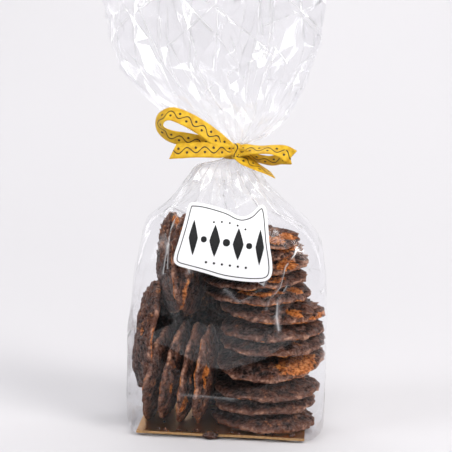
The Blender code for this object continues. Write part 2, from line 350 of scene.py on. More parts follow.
@dataclass(frozen=True)
class TemperedChocolate:
    """Dark couverture that set round caramel: brown-black, with lilac blooming and bare caramel, and painted
    highlight and shade.
    """

    dark: str = "#0f0604"
    brown: str = "#583629"
    bloom_and_painted_light: str = "#a87c64"
    caramel_dark: str = "#3c1e0f"
    caramel: str = "#a85b22"
    caramel_light: str = "#d88d3e"
    coat_places: Pair = (0.46, 0.66)  # where in its mottle the coat is dark and brown
    caramel_places: Triple = (0.34, 0.5, 0.7)
    painted_light_shift: float = 0.45  # painted highlight and shade: how much browner the coat is where the mask of blooming and painted light is high, and how much darker where it is low
    bloom_and_light_reach: Pair = (0.26, 0.58)
    fray: Pair = (1.6, 0.8)  # how far lumps and specks break up the caramel's edge
    bare_reach: Pair = (1.58, 1.74)
    roughness: float = 0.5
    roughness_spread: float = 0.16
    bubble_mm: float = 1.6
    lump_mm: float = 5.0
    relief_mm: float = 1.2

    def material(self) -> Material:
        """Builds the biscuit's shader from its painted numbers and noise of real sizes."""
        biscuit = Shader("tempered_chocolate_on_caramel")
        bloom_and_painted_light = biscuit.painted("bloom_and_painted_light")
        bare = biscuit.painted("caramel")
        lumps = biscuit.noise(self.lump_mm, 5.0, 0.6)
        specks = biscuit.noise(self.bubble_mm, 4.0, 0.65)
        mottle = biscuit.blend(0.5, lumps, specks)
        # painted light: the coat turns browner on lit lips and raised crags and darker in recesses, following
        # the mask of blooming and painted light
        thin = biscuit.maths("MULTIPLY_ADD", bloom_and_painted_light, self.painted_light_shift, mottle)
        coat = biscuit.ramp(thin, *zip(self.coat_places, (self.dark, self.brown)))
        bloom_and_light_share = biscuit.spread(biscuit.maths("MULTIPLY", bloom_and_painted_light, specks), self.bloom_and_light_reach)
        bloomed_and_lit = biscuit.blend_colours(bloom_and_light_share, coat, self.bloom_and_painted_light)
        sugars = (self.caramel_dark, self.caramel, self.caramel_light)
        caramel = biscuit.ramp(specks, *zip(self.caramel_places, sugars))
        ragged = biscuit.maths("MULTIPLY_ADD", lumps, self.fray[0], bare)
        frayed = biscuit.maths("MULTIPLY_ADD", specks, self.fray[1], ragged)
        shown = biscuit.maths("MULTIPLY", biscuit.spread(frayed, self.bare_reach),
                              biscuit.spread(bare, (0.1, 0.5), (0.5, 1.0)))
        height = biscuit.maths("MULTIPLY_ADD", specks, 0.6, lumps)
        dull = (self.roughness - self.roughness_spread, self.roughness + self.roughness_spread)
        return biscuit.principled({
            "IOR": 1.46,
            "Base Color": biscuit.blend_colours(shown, bloomed_and_lit, caramel),
            "Roughness": biscuit.spread(specks, go=dull),
            "Specular IOR Level": biscuit.spread(specks, (0.44, 0.62), (0.08, 0.75)),
            "Normal": biscuit.bump(height, 0.8, self.relief_mm)})


@dataclass(frozen=True)
class GoldFoilCard:
    """Grey board with gold foil hot-pressed on its top: a soft mirror with a fine roll grain."""

    foil: str = "#d09a52"
    grain_mm: float = 0.6
    grain_depth_mm: float = 0.03
    roughness: float = 0.3

    def material(self) -> Material:
        """Builds the foil's shader."""
        card = Shader("hot_pressed_gold_foil")
        grain = card.noise(self.grain_mm, 2.0)
        return card.principled({
            "Base Color": self.foil,
            "Metallic": 1.0,
            "Roughness": card.spread(grain, go=(self.roughness - 0.06, self.roughness + 0.1)),
            "Normal": card.bump(grain, 0.3, self.grain_depth_mm)})


@dataclass(frozen=True)
class CutGreyBoard:
    """The card's guillotined edge: fibres dragged over by the gold foil, matte and uneven."""

    fibre: str = "#a98456"
    fibre_dark: str = "#7f5a2e"
    fibre_mm: float = 0.9
    roughness: float = 0.7

    def material(self) -> Material:
        """Builds the cut edge's shader."""
        board = Shader("cut_grey_board")
        colour = board.ramp(board.noise(self.fibre_mm, 3.0), (0.3, self.fibre_dark), (0.62, self.fibre))
        return board.principled({"Roughness": self.roughness, "Base Color": colour})


@dataclass(frozen=True)
class WovenSatin:
    """Polyester satin ribbon: a yellow-gold weave whose sheen runs across the threads."""

    base: str = "#d8ae20"
    shade: str = "#bf8f11"
    ink: str = "#3a2a12"
    thread_mm: float = 0.42  # real threads are finer; this is as fine as still shows
    thread_depth_mm: float = 0.05
    mottle_mm: float = 3.0
    roughness: float = 0.5
    wave_mm: float = 9.0
    wave_swing_mm: float = 1.5
    line_mm: float = 0.36  # half the printed line's width
    dot_area: float = 0.45  # the square of a printed dot's radius

    def material(self) -> Material:
        """Builds the ribbon's shader, with a plain printed wave along its length."""
        ribbon = Shader("woven_polyester_satin")
        along = ribbon.painted("along_mm")
        across = ribbon.painted("across_mm")
        rows = ribbon.maths("SINE", ribbon.maths("MULTIPLY", along, TURN / self.thread_mm))
        columns = ribbon.maths("SINE", ribbon.maths("MULTIPLY", across, TURN / (self.thread_mm * 1.6)))
        weave = ribbon.maths("MULTIPLY", rows, columns)
        cloth = ribbon.ramp(ribbon.noise(self.mottle_mm, 3.0), (0.3, self.shade), (0.6, self.base))
        return ribbon.principled({
            "Roughness": self.roughness,
            "Sheen Weight": 0.08,
            "Specular IOR Level": 0.25,
            "Base Color": ribbon.blend_colours(self._printed_wave(ribbon, along, across), cloth, self.ink),
            "Normal": ribbon.bump(weave, 0.5, self.thread_depth_mm)})

    def _printed_wave(self, ribbon: Shader, along: Socket, across: Socket) -> Socket:
        """Draws a thin running wave with a dot in each of its bends.

        Args:
            ribbon: the ribbon's shader.
            along: millimetres along the ribbon.
            across: millimetres from its middle.

        Returns:
            A socket that is 1 on the ink and 0 off it.
        """
        maths = ribbon.maths
        wave = maths("SINE", maths("MULTIPLY", along, TURN / self.wave_mm))
        from_line = maths("ABSOLUTE", maths("MULTIPLY_ADD", wave, -self.wave_swing_mm, across))
        bend = maths("FRACT", maths("MULTIPLY", along, 2.0 / self.wave_mm))
        from_bend = maths("MULTIPLY_ADD", bend, self.wave_mm / 2.0, -self.wave_mm / 4.0)
        from_dot = maths("MULTIPLY_ADD", wave, 1.2, across)
        spot = maths("ADD", maths("MULTIPLY", from_bend, from_bend), maths("MULTIPLY", from_dot, from_dot))
        return maths("MAXIMUM", maths("LESS_THAN", from_line, self.line_mm),
                     maths("LESS_THAN", spot, self.dot_area))


@dataclass(frozen=True)
class CoatedPaper:
    """Machine-coated white paper: a sticker with a soft gloss and hardly any texture."""

    white: str = "#e4e4e6"
    roughness: float = 0.45
    cockle_mm: float = 9.0
    cockle_depth_mm: float = 0.2

    def material(self) -> Material:
        """Builds the paper's shader."""
        paper = Shader("coated_white_paper")
        cockle = paper.bump(paper.noise(self.cockle_mm, 2.0), 0.4, self.cockle_depth_mm)
        return paper.principled({"Base Color": self.white, "Roughness": self.roughness, "Normal": cockle})


@dataclass(frozen=True)
class PrintingInk:
    """Black offset ink: a thin dry layer, nearly black and duller than the paper."""

    black: str = "#0a0a0c"
    worn: str = "#161618"
    mottle_mm: float = 1.2
    roughness: float = 0.6

    def material(self) -> Material:
        """Builds the ink's shader, with the slight mottle of a dry print."""
        ink = Shader("offset_black_ink")
        colour = ink.ramp(ink.noise(self.mottle_mm, 2.0), (0.35, self.black), (0.75, self.worn))
        return ink.principled({"Roughness": self.roughness, "Specular IOR Level": 0.3, "Base Color": colour})


@dataclass(frozen=True)
class MattPaperSweep:
    """The studio's seamless background paper: pale, matte, with no visible grain."""

    pale: str = "#cfcdd0"
    roughness: float = 0.9

    def material(self) -> Material:
        """Builds the sweep's shader."""
        paper = Shader("background_paper")
        return paper.principled({
            "Base Color": self.pale,
            "Roughness": self.roughness,
            "Specular IOR Level": 0.1})


@dataclass(frozen=True)
class Station:
    """One level of the bag's film, in millimetres."""

    height: float
    half_width: float
    half_depth: float
    shift: float
    square: float


class BagForm:
    """The bag's smooth outer form, from its foot to its mouth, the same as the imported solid's."""

    stations = tuple(Station(*row) for row in (
        (0.0, 47.0, 28.0, 0.8, 6.0),
        (1.6, 49.6, 30.2, 1.4, 6.0),
        (10.0, 51.4, 31.0, 1.9, 6.0),
        (50.0, 51.4, 32.0, 1.3, 5.5),
        (70.0, 50.4, 31.8, 1.5, 5.2),
        (85.0, 48.9, 31.4, 1.9, 5.0),
        (98.0, 46.7, 30.2, 2.0, 4.2),
        (110.0, 41.7, 26.4, -0.2, 3.4),
        (120.0, 30.2, 20.4, -0.6, 2.8),
        (130.0, 21.3, 14.0, -2.5, 2.4),
        (138.0, 14.6, 8.8, -2.6, 2.1),
        (141.8, 5.0, 4.6, 1.9, 2.0),
        (145.5, 4.6, 4.4, 2.2, 2.0),
        (149.2, 5.0, 4.6, 2.2, 2.0),
        (152.6, 14.0, 6.4, 0.6, 2.0),
        (158.0, 23.6, 8.6, -1.4, 2.0),
        (165.0, 32.4, 11.0, -3.0, 2.0),
        (171.5, 38.8, 14.8, -6.0, 2.1),
        (179.0, 45.0, 18.0, -8.2, 2.2),
        (190.0, 51.6, 21.0, -10.2, 2.3),
        (203.0, 56.2, 22.8, -9.8, 2.3),
        (222.0, 57.8, 24.2, -10.8, 2.3),
        (242.0, 58.6, 25.0, -11.2, 2.3),
    ))
    neck = 145.5
    mouth = 242.0
    foot = 0.9
    samples = 240  # round one section, for its arc length
    step = 0.5  # between the levels at which the form is measured

    def __init__(self) -> None:
        """Measures the film's length up the bag, and starts an empty store of sections."""
        self._sections: dict[int, list[Triple]] = {}
        self._lengths = [(self.foot, 0.0)]
        height, length, radius = self.foot, 0.0, self._mean_radius(self.foot)
        while height < self.mouth:
            height = min(self.mouth, height + self.step)
            next_radius = self._mean_radius(height)
            length += math.hypot(self.step, next_radius - radius)
            radius = next_radius
            self._lengths.append((height, length))

    @property
    def film_length(self) -> float:
        """How long the film is from the foot to the mouth."""
        return self._lengths[-1][1]

    @property
    def neck_length(self) -> float:
        """How long the film is from the foot to the tie."""
        return self.length_at(self.neck)

    def _mean_radius(self, height: float) -> float:
        """Half the mean of the section's width and depth."""
        level = self.station_at(height)
        return 0.5 * (level.half_width + level.half_depth)

    def station_at(self, height: float) -> Station:
        """Reads the section's sizes at a height, on curves that never overshoot the stations.

        Args:
            height: millimetres above the foot.

        Returns:
            The station there.
        """
        rows = self.stations
        last = len(rows) - 1
        if height <= rows[0].height:
            return rows[0]
        if height >= rows[last].height:
            return rows[last]
        index = next(i for i in range(last) if height <= rows[i + 1].height)
        span = rows[index + 1].height - rows[index].height
        t = (height - rows[index].height) / span
        rise = t * t * (3.0 - 2.0 * t)

        def read(field: str) -> float:
            """One field of the station, by a Hermite curve."""
            values = [getattr(row, field) for row in rows]

            def slope(i: int) -> float:
                """The straight slope between two stations."""
                return (values[i + 1] - values[i]) / (rows[i + 1].height - rows[i].height)

            def tangent(i: int) -> float:
                """The curve's slope at a station, level at a turning point."""
                if i == 0 or i == last or slope(i - 1) * slope(i) <= 0.0:
                    return 0.0
                return 2.0 * slope(i - 1) * slope(i) / (slope(i - 1) + slope(i))

            start_pull = t * (1.0 - t) * (1.0 - t) * span * tangent(index)
            end_pull = t * t * (t - 1.0) * span * tangent(index + 1)
            return values[index] * (1.0 - rise) + values[index + 1] * rise + start_pull + end_pull

        return Station(height, read("half_width"), read("half_depth"), read("shift"), read("square"))

    def _section(self, height: float) -> list[Triple]:
        """The section at a height as places round it: share of the way round, x and y."""
        key = round(height / self.step)
        if key not in self._sections:
            level = self.station_at(key * self.step)
            points = []
            for i in range(self.samples + 1):
                angle = TURN * i / self.samples
                c, s = math.cos(angle), math.sin(angle)
                radius = (abs(c / level.half_width) ** level.square
                          + abs(s / level.half_depth) ** level.square) ** (-1.0 / level.square)
                points.append((level.shift + radius * c, radius * s))
            run = [0.0]
            for start, end in zip(points, points[1:]):
                run.append(run[-1] + math.hypot(end[0] - start[0], end[1] - start[1]))
            self._sections[key] = [(r / run[-1], x, y) for r, (x, y) in zip(run, points)]
        return self._sections[key]

    def _on_section(self, height: float, share: float) -> Pair:
        """The x and y of a point of the section, a share of the way round it from +X."""
        rows = self._section(height)
        share %= 1.0
        low = row_below(rows, share)
        (a, x0, y0), (b, x1, y1) = rows[low], rows[low + 1]
        t = (share - a) / (b - a)
        return x0 + (x1 - x0) * t, y0 + (y1 - y0) * t

    def point(self, height: float, share: float) -> Vector:
        """A point of the smooth form.

        Args:
            height: millimetres above the foot.
            share: how far round the section from +X towards +Y, from 0 to 1.

        Returns:
            The point.
        """
        below = math.floor(height / self.step) * self.step
        t = (height - below) / self.step
        x0, y0 = self._on_section(below, share)
        x1, y1 = self._on_section(below + self.step, share)
        return Vector((x0 + (x1 - x0) * t, y0 + (y1 - y0) * t, height))

    def outward(self, point: Vector) -> Vector:
        """The level direction out of the form at a point of it."""
        level = self.station_at(point.z)
        x, y = (point.x - level.shift) / level.half_width, point.y / level.half_depth
        power = level.square - 1.0
        return Vector((math.copysign(abs(x) ** power, x) / level.half_width,
                       math.copysign(abs(y) ** power, y) / level.half_depth, 0.0)).normalized()

    def front(self, x: float, height: float) -> float:
        """How far the smooth front stands at this place, a negative Y."""
        level = self.station_at(height)
        share = min(0.999, abs((x - level.shift) / level.half_width))
        return -level.half_depth * (1.0 - share ** level.square) ** (1.0 / level.square)

    def length_at(self, height: float) -> float:
        """The film's length from the foot up to a height."""
        step = min(len(self._lengths) - 2, max(0, int((height - self.foot) / self.step)))
        (h0, l0), (h1, l1) = self._lengths[step], self._lengths[step + 1]
        return l0 + (l1 - l0) * (height - h0) / (h1 - h0)

    def height_at(self, length: float) -> float:
        """The height that the film reaches this far from the foot."""
        low = row_below(self._lengths, length, 1)
        (h0, l0), (h1, l1) = self._lengths[low], self._lengths[low + 1]
        return h0 + (h1 - h0) * (length - l0) / (l1 - l0)

    def share_on_front(self, x: float, height: float) -> float:
        """How far round the section the front's point with this x lies."""
        rows = self._section(height)
        front = [(abs(row[1] - x), row[0]) for row in rows if row[0] >= 0.5]
        return min(front)[1]


@dataclass(frozen=True)
class CaramelPatch:
    """A place where the chocolate missed and the caramel shows bare.

    The angle goes round the biscuit from its own +X; reach goes from 0 in the middle of
    the domed side, over 1 at the shoulder, to 2 at the flat side's edge. Under the flat side
    it goes from 1 at the edge to 2 in the middle.
    """

    angle: float
    spread: float
    reach: Pair
    hollow: float = 0.6  # how deep it is broken out, in millimetres


@dataclass(frozen=True)
class Placement:
    """Where one biscuit lies: the middle of its flat side, and where its dome faces."""

    middle: Triple
    dome: Triple
    radius: float = 27.0
    thickness: float = 8.0
    lie: Lie = Lie.FLAT
    patches: tuple[CaramelPatch, ...] = ()
    crags: float = 1.0
    rough: float = -20.0  # the side, in degrees round the biscuit, where nuts break the chocolate


@dataclass
class Florentine:
    """One biscuit: caramel and nuts set in a ring, half drowned in dark chocolate."""

    placement: Placement
    seed: int
    sides: int = 180
    # from the middle of the flat side, over its thin lip and up the craggy side, to the top
    profile: Outline = (
        (0.0, 0.04), (0.3, 0.03), (0.55, 0.02), (0.75, 0.01), (0.88, 0.0), (0.945, 0.015), (0.975, 0.05),
        (0.99, 0.1), (1.0, 0.16), (1.0, 0.23), (0.995, 0.3), (0.984, 0.37), (0.966, 0.43), (0.94, 0.49),
        (0.91, 0.55), (0.878, 0.61), (0.845, 0.67), (0.81, 0.725), (0.772, 0.78), (0.73, 0.825),
        (0.685, 0.86), (0.635, 0.89), (0.58, 0.915), (0.515, 0.94), (0.435, 0.962), (0.34, 0.98),
        (0.23, 0.992), (0.11, 1.0), (0.0, 1.0))
    lip_ring: int = 7
    shoulder_ring: int = 19

    def _outline(self, angle: float) -> float:
        """How far the uneven outline stands from the radius, in millimetres."""
        c, s = math.cos(angle), math.sin(angle)
        slow = noise.noise(Vector((c * 1.1, s * 1.1, self.seed * 3.7)))
        quick = noise.noise(Vector((c * 4.2, s * 4.2, self.seed * 5.1 + 9.0)))
        fine = noise.noise(Vector((c * 13.0, s * 13.0, self.seed * 7.3 + 4.0)))
        return 1.8 * slow + 1.3 * quick + 0.8 * fine

    def _bare(self, angle: float, reach: float) -> Pair:
        """How bare the caramel is here, from 0 under chocolate to 1, and how deep it is broken out."""
        bare = 0.0
        hollow = 0.0
        for patch in self.placement.patches:
            turn = abs((math.degrees(angle) - patch.angle + 180.0) % 360.0 - 180.0)
            low, high = patch.reach
            middle, half = (low + high) / 2.0, (high - low) / 2.0
            away = math.hypot(turn / patch.spread, (reach - middle) / half)
            shown = 1.0 - smooth_step(0.35, 1.25, away)
            bare = max(bare, shown)
            hollow = max(hollow, shown * patch.hollow)
        return bare, hollow

    def _reach(self, index: int) -> float:
        """A ring's place, counted as a caramel patch counts it.

        Args:
            index: the ring's number, from the middle of the flat side.

        Returns:
            2 to 1 out over the flat side, then 2 at the lip, 1 at the shoulder and 0 on the dome.
        """
        if index <= self.lip_ring:
            return 2.0 - index / self.lip_ring
        if index <= self.shoulder_ring:
            return 2.0 - (index - self.lip_ring) / (self.shoulder_ring - self.lip_ring)
        return max(0.0, 1.0 - (index - self.shoulder_ring) / (len(self.profile) - 1 - self.shoulder_ring))

    def _surface(self, index: int, angle: float) -> tuple[float, float, float, float]:
        """Works out one point: its radius and height, its share of blooming and painted light, and how bare
        it is.

        Args:
            index: the ring that the point is on.
            angle: how far round the biscuit it is.

        Returns:
            Two sizes in millimetres and two shares from 0 to 1.
        """
        place = self.placement
        share, level = self.profile[index]
        c, s = math.cos(angle), math.sin(angle)
        radius = (place.radius + self._outline(angle)) * share
        height = place.thickness * level
        bare, broken = self._bare(angle, self._reach(index))
        flat = index < self.lip_ring
        side = smooth_step(0.25, 0.55, level) * smooth_step(0.25, 0.75, share)
        top = smooth_step(0.55, 0.95, level)
        rough = 0.4 + 0.6 * smooth_step(-0.3, 0.75, math.cos(angle - math.radians(place.rough)))
        crags = place.crags * rough
        spot = Vector((radius * c, radius * s, height + self.seed * 40.0))
        crag = noise.fractal(spot * 0.3, 0.6, 2.2, 5) * crags
        lump = noise.noise(spot * 0.13 + Vector((5.0, 1.0, 2.0)))
        nut = 0.3 - abs(noise.noise(spot * 0.48))
        relief = 0.8 * crag + 1.4 * nut * crags
        pit = noise.noise(spot * 0.11 + Vector((2.0, 8.0, 5.0)))
        hollow = 1.6 * smooth_step(0.1, 0.5, pit) * crags
        recess = 3.4 * (1.1 - rough) * math.exp(-((level - 0.56) / 0.26) ** 2)
        radius += side * (2.2 * relief - hollow - broken - 0.2 - recess) * (1.0 - 0.6 * top)
        height += top * (1.25 * relief + 0.8 * lump - 0.5 * broken - 0.7)
        if share > 0.6:
            pebble = noise.noise(spot * 0.34) + 0.6 * noise.noise(spot * 0.8)
            radius += 1.0 * pebble * (0.5 + 0.5 * rough)
            height += 0.9 * (1.0 - top) * noise.noise(Vector((c * 3.4, s * 3.4, self.seed * 4.1)))
        if index <= self.lip_ring + 3:
            wave = noise.noise(Vector((c * 2.0, s * 2.0, self.seed * 1.9)))
            height += 0.9 * wave * share ** 3
            height += (0.15 + 0.4 * share ** 4) * noise.noise(spot * 0.5)
        # painted light: the mask is raised on the rim band just above the lip, where the lamps catch it, and
        # on raised crags, and lowered where the crags dip and in the recess, where shade falls; the patchy
        # noise is real blooming
        lip = math.exp(-((index - self.lip_ring - 1.5) / 2.4) ** 2)
        patchy = 0.55 + 0.9 * noise.noise(spot * 0.22 + Vector((3.0, 6.0, 9.0)))
        bloom_and_painted_light = 0.14 + 0.85 * lip * patchy + 0.3 * flat + (0.5 * relief - 0.1 * recess) * (not flat)
        streak = smooth_step(-0.05, 0.25, noise.noise(Vector((c * 2.6, s * 2.6, self.seed * 2.3 + 1.0))))
        lip_caramel = math.exp(-((index - self.lip_ring + 0.5) / 1.2) ** 2) * streak
        bare = max(bare, 0.6 * lip_caramel, 0.02 + 0.17 * rough * (not flat))
        return radius, max(height, -0.5), min(1.0, max(0.0, bloom_and_painted_light)), bare

    def build(self, material: Material, name: str) -> Piece:
        """Makes the biscuit in its place.

        Args:
            material: the chocolate and caramel finish.
            name: the piece's name.

        Returns:
            The piece.
        """
        place = self.placement
        dome = Vector(place.dome).normalized()
        sideways = RIGHT if place.lie is Lie.FLAT or abs(dome.dot(VIEWER)) > 0.9 else VIEWER
        first = (sideways - dome * dome.dot(sideways)).normalized()
        second = dome.cross(first)
        bm = bmesh.new()
        bloom_and_light_layer = bm.verts.layers.float.new("bloom_and_painted_light")
        bare_layer = bm.verts.layers.float.new("caramel")
        rings = []
        for index, (share, _) in enumerate(self.profile):
            count = 1 if share == 0.0 else self.sides
            ring = []
            for i in range(count):
                angle = TURN * i / count
                radius, height, bloom_and_painted_light, bare = self._surface(index, angle)
                vert = bm.verts.new(first * (radius * math.cos(angle)) + second * (radius * math.sin(angle))
                                    + dome * height + Vector(place.middle))
                vert[bloom_and_light_layer] = bloom_and_painted_light
                vert[bare_layer] = bare
                ring.append(vert)
            rings.append(ring)
        self._skin(bm, rings)
        bmesh.ops.recalc_face_normals(bm, faces=bm.faces)
        return mesh_piece(name, bm, [material], smooth=True)

    def _skin(self, bm: Mesh, rings: list[list[Vert]]) -> None:
        """Joins the rings with faces, and closes them at the two middles.

        Args:
            bm: the biscuit.
            rings: its rings, of which the first and last hold one point each.
        """
        for low, high in zip(rings, rings[1:]):
            for i in range(self.sides):
                j = (i + 1) % self.sides
                if len(low) == 1:
                    bm.faces.new((low[0], high[j], high[i]))
                elif len(high) == 1:
                    bm.faces.new((low[i], low[j], high[0]))
                else:
                    bm.faces.new((low[i], low[j], high[j], high[i]))


@dataclass
class CookieStack:
    """All the biscuits: a column on the right, two rows on edge on the left and some behind."""

    finish: TemperedChocolate
    column: tuple[Placement, ...] = (
        Placement((21.0, 0.0, 3.5), (0.02, 0.0, 1.0), 26.6, 8.8),
        Placement((21.8, 0.4, 13.0), (-0.03, -0.01, 1.0), 26.6, 7.6),
        Placement((22.6, -0.4, 21.0), (-0.02, -0.03, 1.0), 26.8, 7.4),
        Placement((23.6, 0.4, 35.6), (-0.05, -0.23, 1.0), 27.4, 7.6,
                  patches=(CaramelPatch(-42.0, 40.0, (0.2, 2.0), 0.3),
                           CaramelPatch(-30.0, 18.0, (0.5, 1.9), 0.3)),
                  crags=1.3),
        Placement((24.6, -0.2, 46.4), (-0.05, -0.11, 1.0), 27.0, 6.8),
        Placement((24.2, 0.2, 53.2), (-0.03, -0.08, 1.0), 26.8, 8.0),
        Placement((23.4, 0.0, 62.0), (0.05, -0.05, 1.0), 26.8, 8.6,
                  patches=(CaramelPatch(-54.0, 15.0, (0.7, 1.7), 6.0), CaramelPatch(-16.0, 30.0, (1.6, 2.0))),
                  crags=1.6, rough=-45.0),
        Placement((16.8, -0.6, 71.2), (-0.03, -0.04, 1.0), 26.8, 7.4,
                  patches=(CaramelPatch(-88.0, 50.0, (0.9, 1.4)), CaramelPatch(-30.0, 16.0, (0.8, 1.5)))),
        Placement((14.8, 0.0, 79.0), (-0.05, -0.05, 1.0), 26.6, 6.8,
                  patches=(CaramelPatch(-60.0, 16.0, (1.0, 1.6)),), crags=1.4),
        Placement((15.2, -0.4, 86.2), (-0.06, -0.06, 1.0), 26.4, 6.6,
                  patches=(CaramelPatch(-46.0, 20.0, (0.9, 1.9), 0.2),), crags=2.0),
        Placement((12.6, 0.0, 92.8), (-0.08, -0.05, 1.0), 25.4, 6.8,
                  patches=(CaramelPatch(-28.0, 24.0, (0.7, 1.8), 0.2),), crags=2.0, rough=-45.0),
        Placement((11.6, 0.0, 99.4), (-0.01, -0.08, 1.0), 25.4, 5.4,
                  patches=(CaramelPatch(-54.0, 32.0, (0.4, 1.6), 0.3),
                           CaramelPatch(-16.0, 22.0, (0.6, 1.6), 0.2)),
                  crags=2.1, rough=-50.0),
    )
    lower_row: tuple[Placement, ...] = (
        Placement((-39.0, 1.0, 46.6), (-0.98, -0.16, 0.14), 27.5, 8.6, Lie.ON_EDGE,
                  (CaramelPatch(16.0, 8.0, (0.6, 1.2)),), 1.5, 60.0),
        Placement((-36.4, -2.6, 27.6), (0.98, -0.13, -0.13), 24.4, 7.4, Lie.ON_EDGE, (), 0.6),
        Placement((-27.9, -2.4, 28.8), (0.98, -0.11, -0.16), 25.8, 6.8, Lie.ON_EDGE,
                  (CaramelPatch(10.0, 10.0, (0.9, 1.3)),), 1.2, 0.0),
        Placement((-19.4, -2.0, 28.8), (0.98, -0.09, -0.13), 25.8, 6.6, Lie.ON_EDGE,
                  (CaramelPatch(34.0, 15.0, (0.85, 1.8)), CaramelPatch(-2.0, 10.0, (0.7, 1.2))), 1.1, 0.0),
        Placement((-11.4, -2.4, 28.8), (0.98, -0.1, -0.07), 25.8, 6.4, Lie.ON_EDGE,
                  (CaramelPatch(-8.0, 22.0, (0.7, 1.35)),), 1.2, 0.0),
    )
    upper_row: tuple[Placement, ...] = (
        Placement((-26.0, -1.5, 85.6), (-0.93, -0.36, 0.02), 26.2, 8.4, Lie.ON_EDGE,
                  (CaramelPatch(64.0, 30.0, (1.3, 2.0)), CaramelPatch(-30.0, 30.0, (1.7, 2.0))), 1.9, 70.0),
        Placement((-21.4, -1.8, 85.6), (0.95, -0.22, 0.08), 26.0, 7.2, Lie.ON_EDGE,
                  (CaramelPatch(22.0, 15.0, (0.6, 1.5)),), 1.0, 0.0),
    )
    behind: tuple[Placement, ...] = (
        Placement((-24.0, 29.7, 56.6), (0.0, -1.0, 0.02), 20.6, 5.2, Lie.ON_EDGE),
        Placement((-5.5, 29.9, 21.6), (0.05, -1.0, 0.0), 18.8, 5.2, Lie.ON_EDGE),
        Placement((-2.5, 24.0, 45.5), (0.1, -1.0, 0.04), 7.6, 4.0, Lie.ON_EDGE),
        Placement((-10.0, 27.0, 84.0), (0.1, -1.0, -0.04), 18.0, 5.0, Lie.ON_EDGE),
        Placement((-33.0, 28.8, 38.0), (0.0, -1.0, 0.03), 15.6, 5.0, Lie.ON_EDGE),
        Placement((0.4, 28.0, 63.0), (0.06, -1.0, 0.0), 13.0, 4.4, Lie.ON_EDGE),
        Placement((-34.5, 28.2, 12.5), (0.0, -1.0, 0.02), 9.2, 4.6, Lie.ON_EDGE),
        Placement((23.5, 9.5, 29.3), (-0.02, -0.1, 1.0), 17.0, 6.4),
    )
    first_seed: int = 11

    def build(self) -> list[Piece]:
        """Makes every biscuit.

        Returns:
            The pieces, florentine_01 and so on.
        """
        material = self.finish.material()
        rows = self.column + self.lower_row + self.upper_row + self.behind
        pieces = []
        for number, placement in enumerate(rows, 1):
            biscuit = Florentine(placement, self.first_seed + number)
            pieces.append(biscuit.build(material, f"florentine_{number:02d}"))
        return pieces


@dataclass
class Crumbs:
    """Loose crumbs of chocolate and caramel on the card, and a blob that set on its edge."""

    count: int = 46
    seed: int = 5
    size: Pair = (0.4, 1.3)
    card_top: float = 2.9
    reach: Pair = (41.0, 27.0)  # half the width and depth that they lie over
    front_strip: Pair = (-27.0, -23.0)  # where most of them lie
    bloom_and_painted_light: float = 0.12
    bare: float = 0.35
    blob: Triple = (-4.5, -28.6, 2.1)
    blob_size: Triple = (3.9, 1.5, 1.9)

    def _lump(self, bm: Mesh, centre: Vector, size: Vector, draw: random.Random,
              bare: float, detail: int) -> None:
        """Adds one rough lump.

        Args:
            bm: the mesh that gets it.
            centre: where it lies.
            size: its half sizes.
            draw: the source of its unevenness.
            bare: 1 for caramel and 0 for chocolate.
            detail: how finely its surface is split.
        """
        made = bmesh.ops.create_icosphere(bm, subdivisions=detail, radius=1.0)
        shift = Vector((draw.random(), draw.random(), draw.random())) * 50.0
        turn = Matrix.Rotation(draw.uniform(0.0, TURN), 3, "Z")
        bare_layer = bm.verts.layers.float["caramel"]
        bloom_and_light_layer = bm.verts.layers.float["bloom_and_painted_light"]
        for vert in made["verts"]:
            rough = 1.0 + 0.4 * noise.noise(vert.co * 1.6 + shift)
            local = Vector((vert.co.x * size.x, vert.co.y * size.y, vert.co.z * size.z)) * rough
            vert.co = turn @ local + centre if detail < 3 else local + centre
            vert[bare_layer] = bare
            vert[bloom_and_light_layer] = self.bloom_and_painted_light

    def build(self, material: Material) -> Piece:
        """Makes all the crumbs as one joined mesh.

        Args:
            material: the biscuits' own finish.

        Returns:
            The piece.
        """
        draw = random.Random(self.seed)
        bm = bmesh.new()
        bm.verts.layers.float.new("bloom_and_painted_light")
        bm.verts.layers.float.new("caramel")
        for _ in range(self.count):
            radius = draw.uniform(*self.size) * draw.uniform(0.6, 1.0)
            edge = draw.random() < 0.7
            x = draw.uniform(-self.reach[0], self.reach[0])
            y = draw.uniform(*self.front_strip) if edge else draw.uniform(-self.reach[1], self.reach[1])
            size = Vector((radius, radius * 0.8, radius * 0.6))
            centre = Vector((x, y, self.card_top + size.z * 0.7))
            self._lump(bm, centre, size, draw, self.bare * (draw.random() < 0.3), 1)
        self._lump(bm, Vector(self.blob), Vector(self.blob_size), draw, 0.0, 3)
        return mesh_piece("crumbs", bm, [material], smooth=True)


